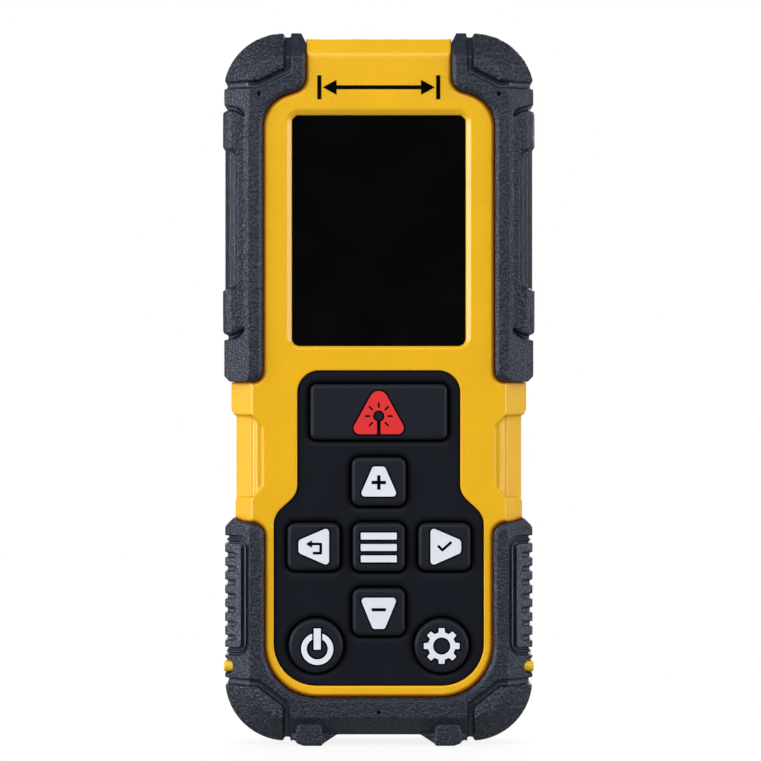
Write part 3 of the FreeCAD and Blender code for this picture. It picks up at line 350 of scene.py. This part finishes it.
MATERIALS = {
    "yellow_shell": YELLOW,
    "bumper_rubber": RUBBER,
    "key_rubber": KEY_RUBBER,
    "window_plastic": window_plastic(),
    "display_glass": display_glass(),
    "white_plastic": grained_plastic("white_plastic", (0.75, 0.75, 0.74), 0.5, 0.5 * MM, 0.01 * MM),
    "black_plastic": BLACK_PLASTIC,
    "door_plastic": DOOR_PLASTIC,
    "flex_film": grained_plastic("flex_film", (0.3, 0.12, 0.02), 0.3, 0.6 * MM, 0.01 * MM, 0.15),
    "foam_rubber": foam("foam_rubber", (0.012, 0.012, 0.013)),
    "gold": GOLD,
    "brass": BRASS,
    "steel": STEEL,
    "circuit_board": circuit_board(),
    "lens_glass": lens_glass(),
    "battery_can": battery_can(),
    "label_film": grained_plastic("label_film", (0.42, 0.43, 0.44), 0.35, 0.25 * MM, 0.006 * MM, 0.04,
                                  Metallic=0.3),
    "carbon": foam("carbon", (0.006, 0.006, 0.006)),
    "white_print": WHITE_PRINT,
    "red_print": RED_PRINT,
}


OWN_MATERIALS = {"tripod_insert": threaded_brass()}      # nodes that look finer than their slot


def finish_nodes():
    """Every CAD node takes its own material, or else that of its slot."""
    for name, node in frame["nodes"].items():
        node.data.materials.clear()
        node.data.materials.append(OWN_MATERIALS.get(name) or MATERIALS[SLOT_OF[name]])


# Moulded skins: the CAD solids with their edges rounded as a mould leaves them

def moulded(node, voxel, passes, faces, materials=None, pillows=(), swell=0.0):
    """A finely remeshed and softened copy of a CAD node, which it replaces. pillows lists the
    regions of the front view that are softened more: (region, passes)."""
    mesh = frame["nodes"][node].data.copy()
    piece = bpy.data.objects.new(f"{node}_skin", mesh)
    SCENE.collection.objects.link(piece)
    weld = piece.modifiers.new("weld", "WELD")
    weld.merge_threshold = 0.0005 * MM
    skin = piece.modifiers.new("skin", "REMESH")
    skin.mode = "VOXEL"
    skin.voxel_size = voxel * COARSE
    skin.use_smooth_shade = True
    soften = piece.modifiers.new("soften", "SMOOTH")
    soften.factor = 0.5
    soften.iterations = passes
    if swell:
        fuller = piece.modifiers.new("fuller", "DISPLACE")
        fuller.mid_level = 0.0
        fuller.strength = swell
    bake_modifiers(piece)
    for region, region_passes in pillows:
        soften_region(piece, region, region_passes)
    count = 2 * len(piece.data.polygons)
    if count > faces:
        thin = piece.modifiers.new("thin", "DECIMATE")
        thin.ratio = faces / count
        bake_modifiers(piece)
    piece.data.materials.clear()
    for material in materials or [MATERIALS[SLOT_OF[node]]]:
        piece.data.materials.append(material)
    piece.data.polygons.foreach_set("use_smooth", [True] * len(piece.data.polygons))
    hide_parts(node)
    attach(piece, BODY_OF[node])
    return piece


def soften_region(piece, region, passes):
    """Rounds the part of the piece inside a region of the front view like a pillow."""
    places = np.empty(3 * len(piece.data.vertices), np.float32)
    piece.data.vertices.foreach_get("co", places)
    places = places.reshape(-1, 3)
    inside = region(np.abs(places[:, 0]) / MM, places[:, 2] / MM)
    group = piece.vertex_groups.new(name="soft")
    group.add(np.flatnonzero(inside).tolist(), 1.0, "REPLACE")
    soften = piece.modifiers.new("pillow", "SMOOTH")
    soften.factor = 0.5
    soften.iterations = int(passes / COARSE)
    soften.vertex_group = group.name
    bake_modifiers(piece)
    piece.vertex_groups.clear()


def bake_modifiers(piece):
    """Turns a piece's modifiers into its own mesh."""
    graph = bpy.context.evaluated_depsgraph_get()
    mesh = bpy.data.meshes.new_from_object(piece.evaluated_get(graph))
    piece.modifiers.clear()
    piece.data = mesh


def face_centres(mesh):
    """The middle of every face, as rows of an array."""
    centres = np.empty(3 * len(mesh.polygons), np.float32)
    mesh.polygons.foreach_get("center", centres)
    return centres.reshape(-1, 3)


BUMPER_RUBBERS = [RUBBER, CAP_RUBBER, GROOVE_RUBBER, SCOOP_RUBBER, GRIP_RUBBER]


def finish_faces(piece, is_cap, grooves):
    """Gives the caps the coarser rubber, the ribs the shinier one and grooves and scoops the smooth ones;
    ribs, grooves and scoops are also painted paler, as painted light.
    """
    centres = face_centres(piece.data)
    x, z = np.abs(centres[:, 0]) / MM, centres[:, 2] / MM
    kinds = np.full(len(x), BUMPER_RUBBERS.index(RUBBER), np.int32)
    kinds[is_cap(x, z)] = BUMPER_RUBBERS.index(CAP_RUBBER)
    kinds[in_scoop(x, z)] = BUMPER_RUBBERS.index(SCOOP_RUBBER)
    kinds[in_ribs(x, z)] = BUMPER_RUBBERS.index(GRIP_RUBBER)
    for path in grooves:
        kinds[near_path(x, z, path) < GROOVE_REACH] = BUMPER_RUBBERS.index(GROOVE_RUBBER)
    piece.data.polygons.foreach_set("material_index", kinds)


def near_path(x, z, path):
    """Distance in the front view of each (x, z) from a path of straight runs."""
    nearest = np.full(len(x), np.inf)
    for (x0, z0), (x1, z1) in zip(path, path[1:]):
        length = math.hypot(x1 - x0, z1 - z0)
        run_x, run_z = (x1 - x0) / length, (z1 - z0) / length
        along = np.clip((x - x0) * run_x + (z - z0) * run_z, 0, length)
        nearest = np.minimum(nearest, np.hypot(x - x0 - along * run_x, z - z0 - along * run_z))
    return nearest


# The rubber's features on the right-hand side of the front view, in mm
BELOW, ABOVE = -1.0, 126.0                            # past the ends of the meter
BESIDE = 30.0                                         # past its side
CAP_BEND_X = 21.1                                     # where the corner caps' grooves turn inwards
UPPER_CAP_X, UPPER_CAP_Z = 15.98, 115.75              # the upper cap's inner side and its lower side
UPPER_CAP_SLOPE = 0.5
LOWER_CAP_X, LOWER_CAP_Z = 16.1, 11.4                 # the lower cap's inner side and its upper side
LOWER_CAP_SLOPE = 0.78
CHANNEL_X, CHANNEL_BEND = 23.43, 0.8                  # the channel round the ribbed grip, its cut corners
CHANNEL_LOW, CHANNEL_HIGH = 16.5, 36.1
SCOOP_X, SCOOP_LOW, SCOOP_HIGH = 25.0, 79.8, 104.7    # the scoop in the upper bumper's grip pad
PAD_X, PAD_LOW, PAD_HIGH = 23.6, 73.2, 110.2          # the pad's side and the middles of its rounded ends
RIBS_X = 23.9
BOOT_X = 20.9                                         # the lower bumper's side face
TOP_EDGE_X, TOP_EDGE_Z = 12.3, 117.5                  # the housing's top edge, between the bumpers
GROOVE_REACH = 0.55

# The middle lines of the grooves, as (x, z)
UPPER_CAP_GROOVE = [(BESIDE, UPPER_CAP_Z), (CAP_BEND_X, UPPER_CAP_Z),
                    (UPPER_CAP_X, 118.3), (UPPER_CAP_X, ABOVE)]
LOWER_CAP_GROOVE = [(BESIDE, 12.0), (CAP_BEND_X, 11.1), (LOWER_CAP_X, 7.2), (LOWER_CAP_X, BELOW)]
GRIP_CHANNEL = [(BESIDE, CHANNEL_HIGH), (24.2, CHANNEL_HIGH), (CHANNEL_X, CHANNEL_HIGH - CHANNEL_BEND),
                (CHANNEL_X, CHANNEL_LOW + CHANNEL_BEND), (24.2, CHANNEL_LOW), (BESIDE, CHANNEL_LOW)]


def in_upper_cap(x, z):
    """Above the corner groove of an upper bumper."""
    groove_z = UPPER_CAP_Z + np.clip(CAP_BEND_X - x, 0, None) * UPPER_CAP_SLOPE
    return (x > UPPER_CAP_X) & (z > groove_z)


def in_lower_cap(x, z):
    """Below the corner groove of the lower bumper."""
    groove_z = LOWER_CAP_Z - np.clip(CAP_BEND_X - x, 0, None) * LOWER_CAP_SLOPE
    return (x > LOWER_CAP_X) & (z < groove_z)


def in_scoop(x, z):
    """The shallow scoop along an upper bumper's grip."""
    return (x > SCOOP_X) & (z > SCOOP_LOW) & (z < SCOOP_HIGH)


def in_pad_ends(x, z):
    """The rounded ends of an upper bumper's grip pad."""
    return (x > PAD_X) & ((abs(z - PAD_LOW) < 2.0) | (abs(z - PAD_HIGH) < 1.6))


def in_ribs(x, z):
    """The ribbed grips on the sides of the lower bumper."""
    return (x > RIBS_X) & (z > CHANNEL_LOW + 0.4) & (z < CHANNEL_HIGH - 0.4)


def in_boot_ends(x, z):
    """The lower bumper's sides above and below the ribbed grips."""
    return (x > BOOT_X) & ((z > CHANNEL_HIGH + 0.9) | ((z > 12.6) & (z < CHANNEL_LOW - 0.9)))


def in_top_edge(x, z):
    """The yellow housing's top edge, between the upper bumpers."""
    return (x < TOP_EDGE_X) & (z > TOP_EDGE_Z)


def build_skins():
    """The skins of the pieces that are moulded, each by its voxel size, smoothing and face count."""
    for side in ("left", "right"):
        bumper = moulded(f"upper_{side}_bumper", 0.16 * MM, 4, 180000, BUMPER_RUBBERS,
                         [(in_upper_cap, 30), (in_pad_ends, 50)])
        finish_faces(bumper, in_upper_cap, [UPPER_CAP_GROOVE])
    lower = moulded("lower_bumper", 0.15 * MM, 3, 195000, BUMPER_RUBBERS,
                    [(in_lower_cap, 30), (in_boot_ends, 60)])
    finish_faces(lower, in_lower_cap, [LOWER_CAP_GROOVE, GRIP_CHANNEL])
    moulded("front_housing", 0.2 * MM, 4, 700000, pillows=[(in_top_edge, 60)])
    moulded("rear_housing", 0.22 * MM, 4, 400000)
    moulded("side_nubs", 0.15 * MM, 3, 40000, [NUB_YELLOW])
    moulded("keypad_sheet", 0.16 * MM, 6, 400000, [SHEET_RUBBER], swell=0.06 * MM)
    moulded("battery_door", 0.18 * MM, 3, 80000)
    moulded("optics_plate", 0.15 * MM, 3, 80000)
    for key in KEYS:
        moulded(f"key_{key}", 0.13 * MM, 3, 40000)


# Printed symbols

def rounded(corners, steps=6):
    """Points of a polygon whose (x, z, radius) corners are rounded by arcs."""
    points = []
    count = len(corners)
    for i, (x, z, radius) in enumerate(corners):
        corner = Vector((x, z))
        if not radius:
            points.append(corner)
            continue
        before = (Vector(corners[i - 1][:2]) - corner).normalized()
        after = (Vector(corners[(i + 1) % count][:2]) - corner).normalized()
        half = before.angle(after) / 2
        centre = corner + (before + after).normalized() * (radius / math.sin(half))
        start = corner + before * (radius / math.tan(half)) - centre
        end = corner + after * (radius / math.tan(half)) - centre
        turn = start.angle_signed(end)
        for step in range(steps + 1):
            points.append(centre + Matrix.Rotation(-turn * step / steps, 2) @ start)
    return points


def grown(corners, amount):
    """A clockwise or anticlockwise polygon of rounded corners with every side moved out by amount."""
    count = len(corners)
    area = sum(corners[i - 1][0] * corners[i][1] - corners[i][0] * corners[i - 1][1] for i in range(count))
    out = 1 if area > 0 else -1
    result = []
    for i, (x, z, radius) in enumerate(corners):
        first = (Vector((x, z)) - Vector(corners[i - 1][:2])).normalized()
        last = (Vector(corners[(i + 1) % count][:2]) - Vector((x, z))).normalized()
        normals = [Vector((d.y, -d.x)) * out for d in (first, last)]
        shift = (normals[0] + normals[1]) * (amount / (1 + normals[0].dot(normals[1])))
        result.append((x + shift.x, z + shift.y, max(radius, 0.05) + amount))
    return result


def circle(x, z, radius, steps=40):
    """Points round a circle."""
    return [Vector((x + radius * math.cos(math.tau * i / steps), z + radius * math.sin(math.tau * i / steps)))
            for i in range(steps)]


def bar(x, z, width, height, radius=0.0):
    """The (x, z, radius) corners of an upright rectangle about (x, z)."""
    half_w, half_h = width / 2, height / 2
    return [(x - half_w, z + half_h, radius), (x + half_w, z + half_h, radius),
            (x + half_w, z - half_h, radius), (x - half_w, z - half_h, radius)]


def stroke(start, end, width):
    """A straight bar from start to end."""
    a, b = Vector(start), Vector(end)
    side = (b - a).normalized().orthogonal() * (width / 2)
    return [(*(a + side), 0), (*(b + side), 0), (*(b - side), 0), (*(a - side), 0)]


def print_layers(name, layers, y, body, out=-1):
    """One printed symbol: flat layers of ink, each (loops in mm, material), stacked along out * Y."""
    mesh = bpy.data.meshes.new(name)
    piece = bpy.data.objects.new(name, mesh)
    whole = bmesh.new()
    for level, (loops, material) in enumerate(layers):
        level = min(level, TOP_LEVEL)
        curve = bpy.data.curves.new(name, "CURVE")
        curve.dimensions = "2D"
        curve.fill_mode = "BOTH"
        curve.extrude = INK_THICKNESS / 2
        for loop in loops:
            spline = curve.splines.new("POLY")
            spline.points.add(len(loop) - 1)
            for point, place in zip(spline.points, loop):
                point.co = (place[0] * MM, place[1] * MM, 0, 1)
            spline.use_cyclic_u = True
        holder = bpy.data.objects.new(name, curve)
        flat = bpy.data.meshes.new_from_object(holder)
        depth = y + out * (level + 0.5) * INK_THICKNESS
        flat.transform(Matrix(((1, 0, 0, 0), (0, 0, -1, depth), (0, 1, 0, 0), (0, 0, 0, 1))))
        start = len(whole.faces)
        whole.from_mesh(flat)
        whole.faces.ensure_lookup_table()
        if material.name not in mesh.materials:
            mesh.materials.append(material)
        index = mesh.materials.find(material.name)
        for face in whole.faces[start:]:
            face.material_index = index
        bpy.data.objects.remove(holder)
        bpy.data.curves.remove(curve)
        bpy.data.meshes.remove(flat)
    whole.to_mesh(mesh)
    whole.free()
    SCENE.collection.objects.link(piece)
    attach(piece, body)
    return piece


INK_THICKNESS = 0.012 * MM
TOP_LEVEL = 5             # the layers from this one up lie side by side
OUTLINE = 0.28            # width of the dark outline round each symbol, mm
LINE = 0.46               # width of the dark lines of a symbol, mm


def filled(corners, material):
    """A symbol's coloured shape on its dark outline."""
    return [([rounded(grown(corners, OUTLINE))], BLACK_PRINT), ([rounded(corners)], material)]


def measure_symbol():
    """A rising triangle with a laser spot, its rays and its beam."""
    triangle = [(0, 5.41, 1.6), (5.12, -3.9, 1.05), (-5.12, -3.9, 1.05)]
    spot_z = -0.74
    layers = filled(triangle, RED_PRINT)
    rays = []
    for degrees in (-45, 0, 45, 90, 135, 180, 225):
        angle = math.radians(degrees)
        near, far = (Vector((r * math.cos(angle), spot_z + r * math.sin(angle))) for r in (1.5, 2.42))
        rays.append(rounded(stroke(near, far, 0.31)))
    beam = rounded(bar(0, -2.6, 0.6, 2.6))
    layers.append(([circle(0, spot_z, 0.98)] + rays, BLACK_PRINT))
    layers.append(([beam], BLACK_PRINT))
    layers.append(([circle(0, spot_z, 0.7)], KEY_RUBBER))
    return layers


def plus_symbol():
    shape = [(-1.05, 2.65, 0.55), (1.05, 2.65, 0.55), (3.35, -2.6, 0.6), (-3.35, -2.6, 0.6)]
    return filled(shape, WHITE_PRINT) + [([rounded(bar(0, -0.15, 2.5, 0.58))], BLACK_PRINT),
                                         ([rounded(bar(0, -0.15, 0.58, 2.5))], BLACK_PRINT)]


def minus_symbol():
    shape = [(-3.3, 2.5, 0.6), (3.3, 2.5, 0.6), (1.05, -2.95, 0.55), (-1.05, -2.95, 0.55)]
    return filled(shape, WHITE_PRINT) + [([rounded(bar(0, 0.4, 2.5, 0.56))], BLACK_PRINT)]


def menu_symbol():
    layers = []
    for z in (1.93, -0.06, -2.05):
        layers += filled(bar(0, z, 6.3, 1.2, 0.12), WHITE_PRINT)
    # outlines lie under every bar
    return [layers[0], layers[2], layers[4], layers[1], layers[3], layers[5]]


def back_symbol():
    shape = [(-2.65, 1.15, 0.7), (2.7, 3.45, 0.6), (2.7, -3.4, 0.6), (-2.65, -1.05, 0.7)]
    arrow = [([rounded(bar(0.45, 0.5, 1.75, LINE))], BLACK_PRINT),
             ([rounded(bar(1.25, -0.3, LINE, 1.9))], BLACK_PRINT),
             ([rounded(bar(0.6, -1.1, 1.5, LINE))], BLACK_PRINT),
             ([rounded([(-1.35, 0.5, 0), (-0.3, 1.15, 0), (-0.3, -0.15, 0)])], BLACK_PRINT)]
    return filled(shape, WHITE_PRINT) + arrow


def ok_symbol():
    shape = [(2.9, 1.15, 0.7), (-2.45, 3.45, 0.6), (-2.45, -3.4, 0.6), (2.9, -1.05, 0.7)]
    return filled(shape, WHITE_PRINT) + [([rounded(stroke((-1.15, 0.2), (-0.3, -0.65), LINE))], BLACK_PRINT),
                                         ([rounded(stroke((-0.47, -0.65), (1.2, 0.85), LINE))], BLACK_PRINT)]


def power_symbol():
    x, z = 0.24, -0.55
    return [([circle(x, z, 2.81 + OUTLINE), circle(x, z, 1.84 - OUTLINE)], BLACK_PRINT),
            ([circle(x, z, 2.81), circle(x, z, 1.84)], WHITE_PRINT),
            ([rounded(bar(x, z + 1.75, 1.24 + 2 * OUTLINE, 4.2))], BLACK_PRINT),
            ([rounded(bar(x, z + 1.73, 1.24, 3.7))], WHITE_PRINT)]


def gear(x, z, root, tip, teeth, grow):
    """A gear's outline with straight-sided teeth, every edge moved out by grow."""
    points = []
    pitch = math.tau / teeth
    for i in range(teeth):
        middle = i * pitch + math.pi / 2
        for share, radius in ((-0.3, root), (-0.2, tip), (0.2, tip), (0.3, root)):
            angle = middle + share * pitch + math.copysign(grow * 0.8 / radius, share)
            reach = radius + grow
            points.append(Vector((x + reach * math.cos(angle), z + reach * math.sin(angle))))
    return points


def settings_symbol():
    x, z = 0.0, -0.04
    return [([gear(x, z, 2.42, 3.16, 8, OUTLINE), circle(x, z, 1.5 - OUTLINE)], BLACK_PRINT),
            ([gear(x, z, 2.42, 3.16, 8, 0.0), circle(x, z, 1.5)], WHITE_PRINT)]


SYMBOLS = {
    "measure": measure_symbol, "plus": plus_symbol, "menu": menu_symbol, "minus": minus_symbol,
    "back": back_symbol, "ok": ok_symbol, "power": power_symbol, "settings": settings_symbol,
}


def shifted(loops, x, z):
    """The loops, moved by (x, z)."""
    return [[(point[0] + x, point[1] + z) for point in loop] for loop in loops]


def print_keys():
    """Every key's symbol, on its front face."""
    for key, symbol in SYMBOLS.items():
        low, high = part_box(f"key_{key}")
        x = (low.x + high.x) / 2 / MM
        z = (low.z + high.z) / 2 / MM
        layers = [(shifted(loops, x, z), material) for loops, material in symbol()]
        print_layers(f"print_{key}", layers, low.y, BODY_OF[f"key_{key}"])


MARK_RISE = 4.0                  # from the window's top edge, mm
MARK_HALF_WIDTH, MARK_HEIGHT, MARK_LINE = 10.4, 4.2, 0.7
ARROW_LENGTH, ARROW_HALF_WIDTH = 2.4, 1.3


def print_measuring_mark():
    """A plain dimension mark above the screen: a double arrow between two end lines."""
    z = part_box("display_window")[1].z / MM + MARK_RISE
    loops = [rounded(bar(0, z, 2 * MARK_HALF_WIDTH - 3.0, MARK_LINE))]
    for side in (-1, 1):
        loops.append(rounded(bar(side * MARK_HALF_WIDTH, z, MARK_LINE, MARK_HEIGHT)))
        tip = side * (MARK_HALF_WIDTH - 0.6)
        tail = tip - side * ARROW_LENGTH
        loops.append(rounded([(tip, z, 0), (tail, z + ARROW_HALF_WIDTH, 0), (tail, z - ARROW_HALF_WIDTH, 0)]))
    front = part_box("front_housing")[0].y
    layers = [([loop], BLACK_PRINT) for loop in loops]
    print_layers("print_measuring_mark", layers, front, "meter")


# The label's print, in mm
LABEL_MARGIN = 2.4
ROW_LENGTHS = (0.45, 0.9, 0.75, 0.85, 0.4, 0.95, 0.8, 0.6, 0.3)      # as shares of the width
ROW_HEIGHT, ROW_PITCH, FIRST_ROW = 0.5, 1.5, 4.0
STRIPES, STRIPE_HEIGHT, STRIPE_MIDDLE = 24, 4.4, 5.2
FRAME_LINE = 0.2


def print_label():
    """The rating label's print: a frame, rows of plain bars for the lettering, and stripes."""
    low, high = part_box("rear_label")
    x, z = (low.x + high.x) / 2 / MM, (low.z + high.z) / 2 / MM
    left, right = low.x / MM + LABEL_MARGIN, high.x / MM - LABEL_MARGIN
    width, height = right - left, (high.z - low.z) / MM
    outer = bar(x, z, width + LABEL_MARGIN, height - LABEL_MARGIN, 1.0)
    loops = [[rounded(outer), rounded(grown(outer, -FRAME_LINE))]]
    row_z = high.z / MM - FIRST_ROW
    for share in ROW_LENGTHS:
        length = width * share
        loops.append([rounded(bar(right - length / 2, row_z, length, ROW_HEIGHT, 0.15))])
        row_z -= ROW_PITCH
    stripe_x = left
    for i in range(STRIPES):
        stripe = 0.25 + 0.25 * (i * i % 3)
        loops.append([rounded(bar(stripe_x + stripe / 2, low.z / MM + STRIPE_MIDDLE, stripe, STRIPE_HEIGHT))])
        stripe_x += stripe + 0.3 + 0.2 * (i % 2)
    print_layers("print_label", [(loop, GREY_PRINT) for loop in loops], high.y, "meter", 1)


# Studio

# Each softbox: name, place, width and height in metres, and power in watts
SOFTBOXES = [
    ("left_softbox", (-0.65, -0.28, 0.16), 0.36, 0.6, 6.6),
    ("right_softbox", (0.67, -0.27, 0.12), 0.36, 0.6, 4.4),
    ("front_softbox", (0.0, -0.85, 0.75), 1.0, 0.9, 7.0),
    ("back_softbox", (0.1, 0.8, 0.4), 0.7, 0.5, 6.0),
]
ROOM_FRONT, ROOM_BACK = 0.02, 0.3      # how bright the room is as a light, in front and behind
TABLE_GLOW = 0.35                      # how bright the table is as a light on the meter
TABLE_RADIUS = 2.5
TABLE_WHITENESS = 0.85                 # the share of plain white in it under the meter
FADE_RADIUS = 0.1                      # where the table is as white as the room


def softbox(name, place, aim, width, height, power):
    """A rectangular area light that faces aim."""
    data = bpy.data.lights.new(name, "AREA")
    data.shape = "RECTANGLE"
    data.size, data.size_y = width, height
    data.energy = power
    lamp = bpy.data.objects.new(name, data)
    lamp.location = place
    lamp.rotation_euler = (Vector(aim) - Vector(place)).to_track_quat("-Z", "Y").to_euler()
    SCENE.collection.objects.link(lamp)


def studio(low, high):
    """Four softboxes and a room that is dark in front of the screen and brighter behind it."""
    for name, place, width, height, power in SOFTBOXES:
        softbox(name, place, (low + high) / 2, width, height, power)
    world = bpy.data.worlds.new("studio")
    world.use_nodes = True
    nodes, links = world.node_tree.nodes, world.node_tree.links
    direction = nodes.new("ShaderNodeTexCoord").outputs["Generated"]
    split = nodes.new("ShaderNodeSeparateXYZ")
    links.new(direction, split.inputs["Vector"])
    ramp = nodes.new("ShaderNodeMapRange")
    ramp.inputs["From Min"].default_value = -0.9
    ramp.inputs["From Max"].default_value = 0.2
    ramp.inputs["To Min"].default_value = ROOM_FRONT
    ramp.inputs["To Max"].default_value = ROOM_BACK
    links.new(split.outputs["Y"], ramp.inputs["Value"])
    room = nodes["Background"]
    room.inputs["Color"].default_value = (1, 1, 1, 1)
    links.new(ramp.outputs["Result"], room.inputs["Strength"])
    white = nodes.new("ShaderNodeBackground")
    white.inputs["Color"].default_value = (1, 1, 1, 1)
    white.inputs["Strength"].default_value = 1.0
    path = nodes.new("ShaderNodeLightPath")
    mix = nodes.new("ShaderNodeMixShader")
    links.new(path.outputs["Is Camera Ray"], mix.inputs["Fac"])
    links.new(room.outputs[0], mix.inputs[1])
    links.new(white.outputs[0], mix.inputs[2])
    links.new(mix.outputs[0], nodes["World Output"].inputs["Surface"])
    SCENE.world = world


def floor():
    """A pale round table, which pales into the white of the room away from the meter."""
    mesh = bpy.data.meshes.new("floor")
    disc = bmesh.new()
    bmesh.ops.create_circle(disc, cap_ends=True, segments=96, radius=TABLE_RADIUS)
    disc.to_mesh(mesh)
    disc.free()
    piece = bpy.data.objects.new("floor", mesh)
    SCENE.collection.objects.link(piece)
    shader = Shader("floor", (0.9, 0.9, 0.9), 0.6)
    shader.bump(shader.noise(3 * MM, 3.0), 0.02 * MM, 0.3)
    white = shader.nodes.new("ShaderNodeEmission")
    white.inputs["Color"].default_value = (1, 1, 1, 1)
    distance = shader.nodes.new("ShaderNodeVectorMath")
    distance.operation = "LENGTH"
    shader.link(shader.place, distance.inputs[0])
    seen = shader.nodes.new("ShaderNodeLightPath").outputs["Is Camera Ray"]
    shader.link(shader.spread(seen, TABLE_GLOW, 1.0, 0.0, 1.0), white.inputs["Strength"])
    mix = shader.nodes.new("ShaderNodeMixShader")
    whiteness = shader.spread(distance.outputs["Value"], TABLE_WHITENESS, 1.0, 0.0, FADE_RADIUS)
    shader.link(whiteness, mix.inputs["Fac"])
    shader.link(shader.bsdf.outputs[0], mix.inputs[1])
    shader.link(white.outputs[0], mix.inputs[2])
    shader.link(mix.outputs[0], shader.nodes["Material Output"].inputs["Surface"])
    mesh.materials.append(shader.material)


LENS, SENSOR = 250.0, 36.0             # mm
FRAME_HEIGHT, EYE_HEIGHT = 1.0688, 0.5119      # the picture's height and the eye's, in meter heights
PICTURE_DEPTH = 4 * MM                   # behind the front, where the picture's height is measured
EYE_X = 0.3 * MM


def camera(low, high):
    """Straight at the front, from far enough away for nearly parallel sight lines."""
    view_height = FRAME_HEIGHT * (high.z - low.z)
    data = bpy.data.cameras.new("camera")
    data.lens = LENS
    data.sensor_width = SENSOR
    eye = bpy.data.objects.new("camera", data)
    eye.location = (EYE_X, low.y + PICTURE_DEPTH - view_height * LENS / SENSOR, EYE_HEIGHT * (high.z - low.z))
    eye.rotation_euler = (math.radians(90), 0, 0)
    SCENE.collection.objects.link(eye)
    SCENE.camera = eye


SCENE.view_settings.view_transform = "Standard"
finish_nodes()
build_skins()
print_keys()
print_measuring_mark()
print_label()
floor()
studio(*cad_box)
camera(*cad_box)
